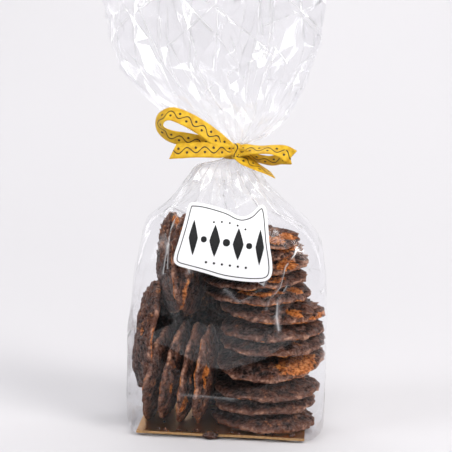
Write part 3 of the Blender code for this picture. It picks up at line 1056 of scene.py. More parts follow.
@dataclass
class BaseCard:
    """The gold card that the biscuits stand on."""

    width: float = 86.0
    depth: float = 56.4
    thickness: float = 1.3
    bottom: float = 1.5
    middle_x: float = 0.4
    corner: float = 1.2
    warp: float = 0.35
    columns: int = 36

    def build(self, foil: Material, edge: Material) -> Piece:
        """Makes the card, slightly warped, with its foil on top.

        Args:
            foil: the top's finish.
            edge: the finish of its cut edge and underside.

        Returns:
            The piece.
        """
        bm = bmesh.new()
        bmesh.ops.create_grid(bm, x_segments=self.columns, y_segments=self.columns // 2, size=0.5)
        bmesh.ops.scale(bm, vec=(self.width, self.depth, 1.0), verts=bm.verts)
        low = bmesh.ops.extrude_face_region(bm, geom=list(bm.faces))
        lifted = [item for item in low["geom"] if isinstance(item, Vert)]
        bmesh.ops.translate(bm, vec=(0.0, 0.0, self.thickness), verts=lifted)
        for vert in bm.verts:
            x, y = vert.co.x / (self.width / 2.0), vert.co.y / (self.depth / 2.0)
            wave = noise.noise(Vector((vert.co.x * 0.05, vert.co.y * 0.05, 3.0)))
            vert.co.z += self.bottom + self.warp * (x * x * 0.5 + wave) * abs(y)
            vert.co.x += self.middle_x
        bmesh.ops.recalc_face_normals(bm, faces=bm.faces)
        for face in bm.faces:
            face.material_index = 0 if face.normal.z > 0.5 else 1
        return mesh_piece("base_card", bm, [foil, edge])


@dataclass
class FilmSheet:
    """The bag's film: one sheet, creased into facets, gathered to the neck and open above."""

    form: BagForm
    perimeter: float = 320.0  # the tube's girth before it is gathered
    margin: float = 60.0
    split: int = 3  # each facet's edge is split into this many
    seed: int = 20
    pleats: int = 38
    body_spacing: float = 11.5
    collar_spacing: float = 14.0
    body_depth: float = 0.75
    collar_depth: float = 2.0
    flat_share: float = 0.95  # how many facets of the collar have a sharp edge
    collar_folds: int = 84
    body_folds: int = 64
    quiet_height: float = 108.0  # below it, the film over the biscuits is drawn smooth
    body_flat_share: float = 0.35
    seam_face: float = 31.1  # how far back the sheet may stand, with room for the seam on it
    tries: int = 5200  # at placing a chance corner of a facet
    edge_steps: int = 40  # corners along the foot and along the mouth
    front_face: float = -8.0  # the front is what stands further out than this, and lower than
    front_top: float = 110.0
    # painted reflection: how much pale room the film is painted to mirror, by region: 1 is an open mirror
    front_gleam: float = 0.5
    dark_gleam: float = 0.1
    sheen_gleam: float = 1.3
    pale_veil_gleam: float = 1.35
    pale_veil_fading: float = 0.03  # for each millimetre up
    gathers: Pair = (108.0, 126.0)  # where the painted reflection rises to 1 towards the neck
    back: Pair = (2.0, 14.0)  # and towards the back
    filled: Pair = (2.0, 122.0)  # the heights at which the sheet is pushed clear of the biscuits
    look_out: float = 9.0  # how far outside the sheet a biscuit is looked for
    gap: float = 0.5
    hem: Outline = ((2.2, 0.35), (9.0, 0.12), (22.0, 0.1))  # its steps under the card: inset, height
    grain: float = 0.22  # the sheet's slight unevenness
    wave_from: float = 170.0  # where the mouth's wave starts
    mouth_wave: float = 2.4
    # folds of the front that the light picks out: x, height and how far each point stands out
    front_folds: tuple[Fold, ...] = (
        ((-37.4, 50.0, 0.3), (-34.1, 45.2, 0.3), (-28.4, 40.2, 0.4), (-22.2, 36.7, 0.4), (-14.1, 32.3, 0.4),
         (-9.3, 28.7, 0.4), (-5.0, 26.4, 0.4), (9.0, 27.5, 0.4), (16.1, 28.9, 0.4), (22.6, 30.9, 0.4),
         (27.4, 33.4, 0.35), (31.1, 38.6, 0.3), (35.1, 45.5, 0.3), (38.2, 54.0, 0.3)),
        ((-37.4, 50.0, 0.3), (-34.2, 49.6, -0.6), (-27.6, 48.0, -1.3), (-21.0, 44.4, -1.5),
         (-14.7, 41.4, -1.6), (-7.0, 38.1, -2.0), (2.1, 37.0, -2.0), (12.2, 40.0, -2.1),
         (20.6, 43.0, -2.1), (28.5, 48.5, -1.9), (38.2, 54.0, 0.3)),
        ((-36.3, 54.3, 0.2), (-32.5, 64.8, -1.9), (-23.8, 61.3, 0.1), (-36.3, 54.3, 0.2)),
    )
    # folds with a thin painted highlight along them: one across near the base, and a V below the sticker
    faint_folds: tuple[Fold, ...] = (
        ((-19.5, 23.6, 0.3), (-4.4, 23.4, 0.5), (6.8, 23.0, 0.2)),
        ((1.1, 78.4, 0.1), (4.6, 75.6, 0.4), (8.5, 73.2, 0.6), (13.8, 76.0, 0.4), (19.2, 79.7, 0.1)),
    )
    # the outline where the film, tilted out above the second front fold, is painted to mirror more pale
    # floor: a painted reflection over the first two front folds
    pale_veil_top: Outline = (
        (-37.4, 50.0), (-36.3, 54.3), (-23.8, 61.3), (-10.0, 61.5), (5.0, 60.0), (20.0, 58.5), (31.0, 58.0),
        (38.2, 54.0),
    )
    # the outline of a narrow painted sheen below the upper row, where the film is painted to mirror more pale
    # room
    sheen: Outline = (
        (-33.0, 86.0), (-28.4, 84.0), (-23.5, 72.3), (-20.6, 60.0), (-24.3, 61.0), (-30.1, 72.3),
    )
    # outlines of film painted to mirror hardly any pale room, a painted darkening: below the sticker, and
    # right of the streaks
    painted_dark_patches: tuple[Outline, ...] = (
        ((-15.0, 85.0), (-9.0, 77.0), (-2.0, 74.2), (8.5, 73.2), (19.2, 79.7), (20.0, 84.0), (0.0, 88.0)),
        ((27.9, 59.4), (28.8, 65.2), (31.6, 69.8), (34.7, 72.7), (38.4, 75.3), (42.9, 71.9), (51.2, 66.2),
         (49.2, 61.7), (38.0, 57.3)),
    )
    # small folds, each with a painted highlight along it, seen as pale lines over the biscuits
    highlight_folds: tuple[Fold, ...] = (
        ((-23.5, 116.0, 0.2), (-27.8, 100.0, 0.6), (-30.6, 85.6, 0.3)),
        ((-27.8, 100.0, 0.6), (-28.4, 88.0, 0.2)),
        ((35.5, 99.4, 0.2), (31.1, 91.3, 0.5), (28.4, 80.9, 0.6), (23.1, 74.3, 0.5), (21.7, 69.5, 0.2)),
        ((31.5, 81.0, 0.2), (27.8, 74.5, 0.5), (26.9, 66.5, 0.4), (27.9, 59.4, 0.2)),
        ((-19.6, 93.0, 0.2), (-17.6, 86.6, 0.3)),
        ((15.8, 84.0, 0.2), (19.6, 81.6, 0.4), (20.6, 86.0, 0.3)),
    )

    def _outline_offset(self, length: float) -> float:
        """How far the mean film stands inside the smooth form, more so in the gathers."""
        height = self.form.height_at(length)
        return -(0.15 + 0.9 * smooth_step(110.0, 128.0, height) * (1.0 - smooth_step(136.0, 142.0, height))
                 + 1.6 * smooth_step(160.0, 190.0, height))

    def _pleat_lines(self, draw: random.Random) -> list[list[Triple]]:
        """Folds that run up and down from the neck, by turns standing in and out.

        Args:
            draw: the source of their lengths and places.

        Returns:
            Each fold's points: place round the tube, length up it and offset.
        """
        neck = self.form.neck_length
        top = self.form.film_length
        lines = []
        for index in range(self.pleats):
            round_at = self.perimeter * (index + draw.uniform(-0.28, 0.28)) / self.pleats
            sign = 1.0 if index % 2 else -1.0
            down = draw.uniform(20.0, 52.0)
            up = draw.uniform(24.0, min(92.0, top - neck - 6.0))
            drift = draw.uniform(-0.16, 0.16)
            points = []
            reach = -down
            while reach < up:
                share = -reach / down if reach < 0.0 else reach / up
                rise = smooth_step(0.0, 13.0, abs(reach))
                fade = 1.0 - smooth_step(0.35, 1.0, share)
                depth = 0.35 + (1.5 if reach < 0.0 else 2.0) * rise * fade
                wander = drift * reach if reach > 0.0 else -drift * reach * 0.5
                ending = 0.35 if share > 0.97 else 1.0
                points.append((round_at + wander, neck + reach, sign * depth * ending))
                reach += 4.0 + 0.14 * abs(reach)
            lines.append([point for point in points if not self._on_quiet_front(*point[:2])])
        return lines

    def _chance_folds(self, draw: random.Random) -> list[list[Triple]]:
        """Straight folds at chance places: long and steep in the collar, short in the body.

        Args:
            draw: the source of their places and slopes.

        Returns:
            Each fold's points, as for the pleats.
        """
        neck = self.form.neck_length
        top = self.form.film_length
        lines = []
        for number in range(self.collar_folds + self.body_folds):
            collar = number < self.collar_folds
            around = draw.uniform(0.0, self.perimeter)
            along = draw.uniform(neck + 26.0, top - 6.0) if collar else draw.uniform(6.0, neck - 30.0)
            start = Vector((around, along))
            steep = collar and number % 2 != 0
            slope = draw.gauss(math.pi / 2.0, 0.3) if steep else draw.uniform(0.0, math.pi)
            reach = draw.uniform(34.0, 80.0) if collar else draw.uniform(14.0, 34.0)
            depth = draw.choice((-1.0, 1.0)) * draw.uniform(0.5, 1.0)
            depth *= self.collar_depth if collar else self.body_depth * 1.3
            steps = max(2, round(reach / 8.0))
            way = Vector((math.cos(slope), math.sin(slope)))
            points = []
            for step in range(steps + 1):
                at = start + way * reach * (step / steps - 0.5)
                if (neck + 12.0 if collar else 3.0) < at.y < top - 3.0:
                    fade = math.sin(math.pi * (0.12 + 0.76 * step / steps))
                    points.append((at.x, at.y, depth * fade))
            if len(points) > 1 and not any(self._on_quiet_front(a, b) for a, b, _ in points):
                lines.append(points)
        return lines

    def _on_quiet_front(self, a: float, b: float) -> bool:
        """Whether a point lies on the front over the biscuits, where the film is drawn smooth."""
        return 0.585 < (a / self.perimeter) % 1.0 < 0.93 and b < self.form.length_at(self.quiet_height)

    def _on_tube(self, fold: Fold) -> list[Triple]:
        """One of the front's own folds, turned into places on the flat tube."""
        return [(self.form.share_on_front(x, height) * self.perimeter, self.form.length_at(height), offset)
                for x, height, offset in fold]

    def _scatter(self, taken: list[Triple], draw: random.Random) -> list[Triple]:
        """Fills the tube with chance corners of facets, none too close to another.

        Args:
            taken: the points that are there already.
            draw: the source of places and depths.

        Returns:
            The new points.
        """
        neck = self.form.neck_length
        top = self.form.film_length
        cell = 6.0
        grid: dict[tuple[int, int], list[Pair]] = {}

        def keep(a: float, b: float) -> None:
            """Notes a point in the grid of cells."""
            a %= self.perimeter
            grid.setdefault((int(a / cell), int(b / cell)), []).append((a, b))

        def crowded(a: float, b: float, spacing: float) -> bool:
            """Whether a point lies nearer than the spacing to one that is there."""
            columns = int(self.perimeter / cell) + 1
            reach = int(spacing / cell) + 1
            for i in range(-reach, reach + 1):
                for j in range(-reach, reach + 1):
                    key = ((int(a / cell) + i) % columns, int(b / cell) + j)
                    for x, y in grid.get(key, ()):
                        gap = abs(x - a)
                        if math.hypot(min(gap, self.perimeter - gap), y - b) < spacing:
                            return True
            return False

        for a, b, _ in taken:
            keep(a, b)
        points = []
        for _ in range(self.tries):
            a, b = draw.uniform(0.0, self.perimeter), draw.uniform(3.5, top - 3.5)
            collar = smooth_step(neck + 14.0, neck + 44.0, b)
            spacing = self.body_spacing + (self.collar_spacing - self.body_spacing) * collar
            spacing *= draw.uniform(0.6, 1.1)
            if abs(b - neck) < 14.0 or crowded(a, b, spacing):
                continue
            depth = self.body_depth + (self.collar_depth - self.body_depth) * collar
            height = self.form.height_at(b)
            quiet = 0.6 if height < 60.0 else 1.0
            if self._on_quiet_front(a, b):
                quiet = 0.1 if height < 66.0 else 0.18
            points.append((a, b, draw.gauss(0.0, 0.5) * depth * quiet))
            keep(a, b)
        return points

    def _facets(self) -> tuple[list[Vector], list[float], list[Facet], dict[tuple[int, int], float]]:
        """Splits the flat tube into facets along all its folds.

        Returns:
            The corners on the flat tube, how far each stands out, the facets as triples of
            corners, and how strong the painted highlight is along the fold that joins each
            folded pair of corners.
        """
        draw = random.Random(self.seed)
        # each fold comes with how strong a painted highlight lies along it, 0 for none
        folds = [(fold, draw.uniform(0.75, 1.0) * (draw.random() < 0.75))
                 for fold in self._pleat_lines(draw) + self._chance_folds(draw)]
        for own_folds, white in ((self.front_folds, 0.0), (self.faint_folds, 0.78), (self.highlight_folds, 1.0)):
            folds += [(self._on_tube(fold), white) for fold in own_folds]
        points: list[Triple] = []
        pairs: list[tuple[int, int, float]] = []
        for fold, white in folds:
            start = len(points)
            points.extend(fold)
            pairs.extend((start + i, start + i + 1, white) for i in range(len(fold) - 1))
        for edge, offset_scale in ((0.0, 0.0), (self.form.film_length, 1.0)):
            for i in range(self.edge_steps):
                around = self.perimeter * i / self.edge_steps
                points.append((around, edge, offset_scale * draw.gauss(0.0, 0.8)))
        points.extend(self._scatter(points, draw))
        flat: list[Vector] = []
        depths: list[float] = []
        links: list[tuple[int, int]] = []
        whites: list[float] = []
        for shift in (-self.perimeter, 0.0, self.perimeter):
            place: dict[int, int] = {}
            for index, (a, b, depth) in enumerate(points):
                wrapped = a % self.perimeter + shift
                if -self.margin <= wrapped <= self.perimeter + self.margin:
                    place[index] = len(flat)
                    flat.append(Vector((wrapped, b)))
                    depths.append(depth)
            for i, j, white in pairs:
                if i in place and j in place:
                    one, other = place[i], place[j]
                    if abs(flat[one].x - flat[other].x) < self.perimeter / 2.0:
                        links.append((one, other))
                        whites.append(white)
        made = geometry.delaunay_2d_cdt(flat, links, [], 0, 1e-3)
        corners, edges, faces, origins, edge_origins, _ = made
        offsets: list[float | None] = [depths[from_[0]] if from_ else None for from_ in origins]
        near: dict[int, list[float]] = {}
        for i, j in edges:
            for one, other in ((i, j), (j, i)):
                if offsets[one] is None and offsets[other] is not None:
                    near.setdefault(one, []).append(offsets[other])
        settled = [offset if offset is not None else sum(near.get(i, [0.0])) / len(near.get(i, [0.0]))
                   for i, offset in enumerate(offsets)]
        folded = {tuple(sorted(edge)): max(whites[i] for i in from_)
                  for edge, from_ in zip(edges, edge_origins) if from_}
        return [Vector(c) for c in corners], settled, [tuple(face) for face in faces], folded

    def _place(self, a: float, b: float, offset: float) -> Vector:
        """A point of the film in space, from its place on the flat tube."""
        length = min(self.form.film_length, max(0.0, b))
        height = self.form.height_at(length)
        point = self.form.point(height, a / self.perimeter)
        out = self.form.outward(point)
        grain = self.grain * noise.noise(Vector((a * 0.11, b * 0.11, 7.0)))
        point += out * (offset + self._outline_offset(length) + grain)
        top = smooth_step(self.wave_from, self.form.mouth, height)
        wave = self.mouth_wave * math.sin(TURN * (2.0 * a / self.perimeter + 0.15))
        point.z += top ** 2 * (wave - 0.6)
        return point

    def build(self, material: Material, inside: BVHTree) -> Piece:
        """Makes the film.

        Args:
            material: the film's finish.
            inside: the biscuits, which the film is pushed clear of.

        Returns:
            The piece.
        """
        corners, offsets, facets, folded = self._facets()
        spots = [self._place(corner.x, corner.y, offset) for corner, offset in zip(corners, offsets)]
        draw = random.Random(self.seed + 1)
        bm = bmesh.new()
        crease_layer = bm.verts.layers.float.new("crease")
        crumple_layer = bm.verts.layers.float.new("crumple")
        taut_layer = bm.verts.layers.float.new("taut")
        made: dict[tuple, Vert] = {}
        count = self.split

        def wrap(vector: Vector) -> Pair:
            """A corner's place with the tube's seam closed up."""
            a = round(vector.x % self.perimeter, 2)
            return (0.0 if a >= self.perimeter - 0.005 else a, round(vector.y, 2))

        def vertex(weights: Facet, face: Facet) -> Vert:
            """The point of a facet with these shares of its corners, made once."""
            used = sorted((wrap(corners[c]), w) for c, w in zip(face, weights) if w)
            key = tuple(used)
            if key not in made:
                a = sum(corners[c].x * w for c, w in zip(face, weights)) / count
                b = sum(corners[c].y * w for c, w in zip(face, weights)) / count
                offset = sum(offsets[c] * w for c, w in zip(face, weights)) / count
                curved = self._clear(self._place(a, b, offset), inside)
                plane = sum((spots[c] * w for c, w in zip(face, weights)), Vector()) / count
                curved = curved.lerp(plane, smooth_step(138.0, 160.0, curved.z))
                curved = kept_in_box(curved, 0.1)
                curved.y = min(curved.y, self.seam_face)
                vert = made[key] = bm.verts.new(curved)
                tall = vert.co.z
                fading = 1.0 - smooth_step(148.0, 180.0, tall)
                vert[crumple_layer] = smooth_step(110.0, 134.0, tall) * fading
                vert[taut_layer] = smooth_step(130.0, 165.0, tall)
            return made[key]

        sharp: set[frozenset] = set()
        chance: dict[tuple, bool] = {}
        for face in facets:
            middle = sum(corners[c].x for c in face) / 3.0
            if not 0.0 <= middle < self.perimeter:
                continue
            rows = [[vertex((i, j, count - i - j), face) for j in range(count - i + 1)]
                    for i in range(count + 1)]
            for i in range(count):
                for j in range(count - i):
                    self._triangle(bm, rows[i][j], rows[i][j + 1], rows[i + 1][j])
                    if j < count - i - 1:
                        self._triangle(bm, rows[i][j + 1], rows[i + 1][j + 1], rows[i + 1][j])
            sides = ((0, 1, [rows[i][count - i] for i in range(count + 1)]),
                     (0, 2, [rows[i][0] for i in range(count + 1)]),
                     (1, 2, rows[0]))
            for one, other, run in sides:
                pair = tuple(sorted((face[one], face[other])))
                name = tuple(sorted((wrap(corners[pair[0]]), wrap(corners[pair[1]]))))
                if name not in chance:
                    collar = corners[pair[0]].y > self.form.neck_length
                    chance[name] = draw.random() < (self.flat_share if collar else self.body_flat_share)
                if pair in folded or chance[name]:
                    sharp.update(frozenset(step) for step in zip(run, run[1:]))
                for vert in run:
                    # painted highlight: each point along a fold keeps the strongest painted highlight of its
                    # folds
                    vert[crease_layer] = max(vert[crease_layer], folded.get(pair, 0.0))
        for edge in bm.edges:
            if frozenset(edge.verts) in sharp:
                edge.smooth = False
        self._close_foot(bm)
        bmesh.ops.recalc_face_normals(bm, faces=bm.faces)
        self._paint_gleam(bm)
        return mesh_piece("film", bm, [material], smooth=True)

    def _paint_gleam(self, bm: Mesh) -> None:
        """Paints how much pale room each facet mirrors, a painted reflection set by region, with crisp edges
        at the front's folds.

        Args:
            bm: the film, in millimetres.
        """
        gleam_layer = bm.loops.layers.float.new("painted_gleam")
        crescent, floor, triangle = [[(x, z) for x, z, _ in fold] for fold in self.front_folds]
        # painted reflection: the crescent between the first two front folds, the triangle and the painted
        # dark patches mirror almost nothing; the pale veil and the sheen mirror more
        dark_shapes = [crescent + floor[::-1], triangle, *map(list, self.painted_dark_patches)]
        pale_veil = list(self.pale_veil_top) + floor[::-1]
        for face in bm.faces:
            middle = face.calc_center_median()
            x, z = middle.x, middle.z
            front = middle.y < self.front_face and z < self.front_top
            dark = front and any(within(x, z, shape) for shape in dark_shapes)
            bright = front and within(x, z, pale_veil)
            shining = front and within(x, z, list(self.sheen))
            for loop in face.loops:
                spot = loop.vert.co
                if dark:
                    loop[gleam_layer] = self.dark_gleam
                elif bright:
                    loop[gleam_layer] = self.pale_veil_gleam - self.pale_veil_fading * max(0.0, spot.z - 50.0)
                elif shining:
                    loop[gleam_layer] = self.sheen_gleam
                else:
                    far = max(smooth_step(*self.gathers, spot.z), smooth_step(*self.back, spot.y))
                    loop[gleam_layer] = self.front_gleam + (1.0 - self.front_gleam) * far

    def _triangle(self, bm: Mesh, *verts: Vert) -> None:
        """Adds a triangle unless two of its corners are one point or it is there already."""
        if len(set(verts)) == 3 and bm.faces.get(verts) is None:
            bm.faces.new(verts)

    def _clear(self, point: Vector, inside: BVHTree) -> Vector:
        """Moves a point of the film out of any biscuit that it would cut.

        Args:
            point: the point, in millimetres.
            inside: the biscuits, in millimetres.

        Returns:
            The point, or one just outside the biscuit.
        """
        if not self.filled[0] <= point.z <= self.filled[1]:
            return point
        out = self.form.outward(point)
        reach = self.look_out + self.gap
        hit, _, _, distance = inside.ray_cast(point + out * self.look_out, -out, reach)
        return point if hit is None else point + out * (reach - distance)

    def _close_foot(self, bm: Mesh) -> None:
        """Folds the sheet's lower edge in and closes it under the card.

        Args:
            bm: the film, in millimetres.
        """
        lowest = [edge for edge in bm.edges
                  if edge.is_boundary and max(v.co.z for v in edge.verts) < 2.0]
        for inset, height in self.hem:
            grown = bmesh.ops.extrude_edge_only(bm, edges=lowest)["geom"]
            verts = [item for item in grown if isinstance(item, Vert)]
            for vert in verts:
                out = self.form.outward(vert.co)
                vert.co.x -= out.x * inset * 0.6
                vert.co.y -= out.y * inset * 0.6
                vert.co.z = height + 0.05 * noise.noise(vert.co * 0.2)
            lowest = [item for item in grown if isinstance(item, bmesh.types.BMEdge)
                      and all(v in verts for v in item.verts)]
        bmesh.ops.contextual_create(bm, geom=lowest)


@dataclass(frozen=True)
class Strip:
    """A length of ribbon: its middle line, and the direction across it at each point."""

    name: str
    route: tuple[tuple[Triple, Triple], ...]
    slant: float = 0.0
    start_mm: float = 0.0


@dataclass
class RibbonBow:
    """One satin ribbon: a turn round the neck, a knot, two loops and two tails."""

    width: float = 8.0
    thickness: float = 0.34
    steps: int = 14  # rows between two points of a route
    columns: int = 9
    curl: float = 0.35  # how far a strip's middle bows out of flat
    band_radius: float = 5.75
    band_height: float = 6.6
    band_sides: int = 56
    band_centre: Triple = (2.2, 0.0, 145.5)
    knot_centre: Triple = (3.0, -8.0, 146.2)
    knot_size: Triple = (6.8, 5.0, 8.0)
    knot_turn: float = math.radians(-14.0)
    knot_square: float = 3.4  # 2 is an ellipsoid, and more is squarer
    knot_start_mm: float = 90.0
    strips: tuple[Strip, ...] = (
        Strip("left_loop", (
            ((2.0, -9.0, 146.8), (0.15, 0.30, 0.94)),
            ((-7.0, -13.0, 152.8), (0.42, 0.42, 0.80)),
            ((-14.0, -15.2, 157.8), (0.40, 0.45, 0.80)),
            ((-21.7, -16.0, 162.0), (0.33, 0.48, 0.82)),
            ((-29.4, -15.4, 164.6), (0.00, 0.60, 0.80)),
            ((-34.6, -14.6, 162.8), (-0.55, 0.76, 0.35)),
            ((-36.0, -13.8, 159.2), (-0.55, 0.83, -0.10)),
            ((-34.4, -13.0, 155.6), (-0.45, 0.75, -0.48)),
            ((-30.2, -12.2, 153.1), (-0.20, 0.60, -0.77)),
            ((-23.5, -11.8, 151.8), (0.00, 0.45, -0.89)),
            ((-16.0, -11.6, 150.4), (0.10, 0.35, -0.93)),
            ((-9.0, -10.8, 148.6), (0.12, 0.25, -0.96)),
            ((1.0, -8.8, 146.4), (0.05, 0.10, -0.99)))),
        Strip("left_tail", (
            ((2.0, -9.4, 147.0), (0.0, 0.10, 0.99)),
            ((-5.0, -14.2, 147.0), (0.0, 0.20, 0.98)),
            ((-12.0, -16.4, 147.1), (0.0, 0.34, 0.94)),
            ((-18.5, -17.0, 146.8), (0.0, 0.40, 0.92)),
            ((-24.0, -16.6, 146.2), (0.0, 0.42, 0.91)),
            ((-28.6, -15.6, 145.7), (0.0, 0.40, 0.92))), 3.6, 31.0),
        Strip("right_loop", (
            ((4.0, -8.6, 147.0), (0.00, 0.20, 0.98)),
            ((9.0, -11.4, 147.4), (0.00, 0.80, 0.60)),
            ((14.7, -13.0, 147.8), (0.00, 0.90, 0.42)),
            ((21.3, -13.6, 148.2), (0.00, 0.87, 0.50)),
            ((26.6, -13.8, 147.4), (0.30, 0.60, 0.74)),
            ((30.9, -13.9, 145.2), (0.62, 0.04, 0.78)),
            ((30.8, -12.9, 145.0), (0.62, -0.04, 0.78)),
            ((26.4, -12.2, 143.6), (0.34, -0.56, 0.76)),
            ((21.0, -12.0, 142.4), (0.00, -0.75, 0.66)),
            ((14.8, -11.6, 143.2), (0.00, -0.80, 0.60)),
            ((9.0, -10.4, 144.6), (0.00, -0.75, 0.66)),
            ((4.0, -8.6, 146.0), (0.00, -0.20, 0.98))), 0.0, 13.0),
        Strip("right_tail", (
            ((3.0, -9.6, 145.7), (0.30, 0.30, 0.90)),
            ((8.6, -12.0, 141.7), (0.36, 0.80, 0.48)),
            ((13.0, -13.2, 139.6), (0.30, 0.90, 0.30)),
            ((17.6, -13.6, 137.6), (0.20, 0.97, 0.16)),
            ((22.4, -13.4, 135.2), (0.10, 0.99, 0.06))), 3.0, 50.0),
    )

    def _sheet(self, bm: Mesh, rows: list[list[tuple[Vector, float, float]]],
               looped: bool = False) -> None:
        """Adds a strip with two faces and an edge, from rows of points across it.

        Args:
            bm: the ribbon.
            rows: for each row its points, with how far along and across the ribbon they are.
            looped: whether the last row joins the first.
        """
        along_layer = bm.verts.layers.float["along_mm"]
        across_layer = bm.verts.layers.float["across_mm"]
        count = len(rows)
        sides: list[list[list[Vert]]] = [[], []]
        for index, row in enumerate(rows):
            after = rows[(index + 1) % count if looped else min(index + 1, count - 1)]
            before = rows[index - 1 if looped else max(index - 1, 0)]
            for face, layer in ((0, 0.5), (1, -0.5)):
                line = []
                for column, (point, along, across) in enumerate(row):
                    forward = after[column][0] - before[column][0]
                    sideways = row[min(column + 1, len(row) - 1)][0] - row[max(column - 1, 0)][0]
                    normal = forward.cross(sideways).normalized()
                    vert = bm.verts.new(point + normal * layer * self.thickness)
                    vert[along_layer] = along
                    vert[across_layer] = across
                    line.append(vert)
                sides[face].append(line)
        last = count if looped else count - 1
        width = len(rows[0])
        for index in range(last):
            after = (index + 1) % count
            for column in range(width - 1):
                front, back = sides
                bm.faces.new((front[index][column], front[after][column],
                              front[after][column + 1], front[index][column + 1]))
                bm.faces.new((back[index][column + 1], back[after][column + 1],
                              back[after][column], back[index][column]))
            for column in (0, width - 1):
                bm.faces.new((sides[0][index][column], sides[1][index][column],
                              sides[1][after][column], sides[0][after][column]))
        if not looped:
            for index in (0, count - 1):
                for column in range(width - 1):
                    bm.faces.new((sides[0][index][column], sides[0][index][column + 1],
                                  sides[1][index][column + 1], sides[1][index][column]))

    def _strip_rows(self, strip: Strip) -> list[list[tuple[Vector, float, float]]]:
        """Follows a strip's route and lays its rows across it.

        Args:
            strip: the strip.

        Returns:
            Rows of points, each with its place along and across the ribbon.
        """
        middles = [Vector(middle) for middle, _ in strip.route]
        acrosses = [Vector(across) for _, across in strip.route]
        total = (len(middles) - 1) * self.steps
        rows = []
        run = strip.start_mm
        previous = middles[0]
        for step in range(total + 1):
            at = step / self.steps
            middle = spline_point(middles, at)
            ahead = spline_point(middles, min(at + 0.05, total / self.steps))
            behind = spline_point(middles, max(at - 0.05, 0.0))
            along = (ahead - behind).normalized()
            across = spline_point(acrosses, at)
            across = (across - along * across.dot(along)).normalized()
            normal = along.cross(across)
            run += (middle - previous).length
            previous = middle
            reach = max(0.0, at - (len(middles) - 2)) * strip.slant
            near_knot = min(at, (total / self.steps - at) if strip.slant == 0.0 else 9.0)
            pinch = 0.62 + 0.38 * smooth_step(0.0, 1.1, near_knot)
            ripple = 0.25 * noise.noise(Vector((run * 0.16, strip.start_mm, 2.0)))
            row = []
            for column in range(self.columns):
                side = 2.0 * column / (self.columns - 1) - 1.0
                bow = self.curl * (1.0 - side * side) * noise.noise(Vector((run * 0.07, 3.0, strip.start_mm)))
                gather = (1.0 - pinch) * 1.6 * math.cos(math.pi * 1.5 * side)
                point = middle + across * side * pinch * self.width / 2.0
                point += normal * (bow + ripple + gather) - along * side * reach / 2.0
                row.append((point, run - side * reach / 2.0, side * self.width / 2.0))
            rows.append(row)
        return rows

    def _band_rows(self) -> list[list[tuple[Vector, float, float]]]:
        """Rows of points for the closed turn round the neck, as for a strip."""
        rows = []
        for i in range(self.band_sides):
            angle = TURN * i / self.band_sides
            row = []
            for column in range(self.columns):
                side = 2.0 * column / (self.columns - 1) - 1.0
                radius = self.band_radius + 0.22 * math.cos(side * 7.0 + 2.0 * math.sin(angle * 2.0))
                level = side * self.band_height / 2.0 + 0.4 * math.sin(angle + 0.8)
                spot = Vector((radius * math.cos(angle), radius * math.sin(angle), level))
                run = angle * self.band_radius
                row.append((Vector(self.band_centre) + spot, run, side * self.width / 2.0))
            rows.append(row)
        return rows

    def _knot(self, bm: Mesh) -> None:
        """Adds the knot: a plump cushion of ribbon with the creases of the turn over it.

        Args:
            bm: the ribbon.
        """
        along_layer = bm.verts.layers.float["along_mm"]
        across_layer = bm.verts.layers.float["across_mm"]
        turn = Matrix.Rotation(self.knot_turn, 3, "Y")
        made = bmesh.ops.create_icosphere(bm, subdivisions=5, radius=1.0)
        for vert in made["verts"]:
            way = vert.co.normalized()
            power = self.knot_square
            size = (abs(way.x) ** power + abs(way.y) ** power + abs(way.z) ** power) ** (-1.0 / power)
            local = Vector((way.x * self.knot_size[0], way.y * self.knot_size[1],
                            way.z * self.knot_size[2])) * size * 0.5
            folds = 0.26 * math.sin(local.x * 2.3 + 0.5 * math.sin(local.z * 0.9))
            pinch = 1.0 - 0.16 * (1.0 - (2.0 * local.z / self.knot_size[2]) ** 2)
            local.x *= pinch
            local += VIEWER * folds
            vert.co = turn @ local + Vector(self.knot_centre)
            vert[along_layer] = self.knot_start_mm + local.z
            vert[across_layer] = local.x * 1.1

    def build(self, finish: WovenSatin) -> Piece:
        """Makes the ribbon.

        Args:
            finish: the satin.

        Returns:
            The piece.
        """
        bm = bmesh.new()
        bm.verts.layers.float.new("along_mm")
        bm.verts.layers.float.new("across_mm")
        for strip in self.strips:
            self._sheet(bm, self._strip_rows(strip))
        self._sheet(bm, self._band_rows(), looped=True)
        self._knot(bm)
        bmesh.ops.recalc_face_normals(bm, faces=bm.faces)
        return mesh_piece("satin_bow", bm, [finish.material()], smooth=True)


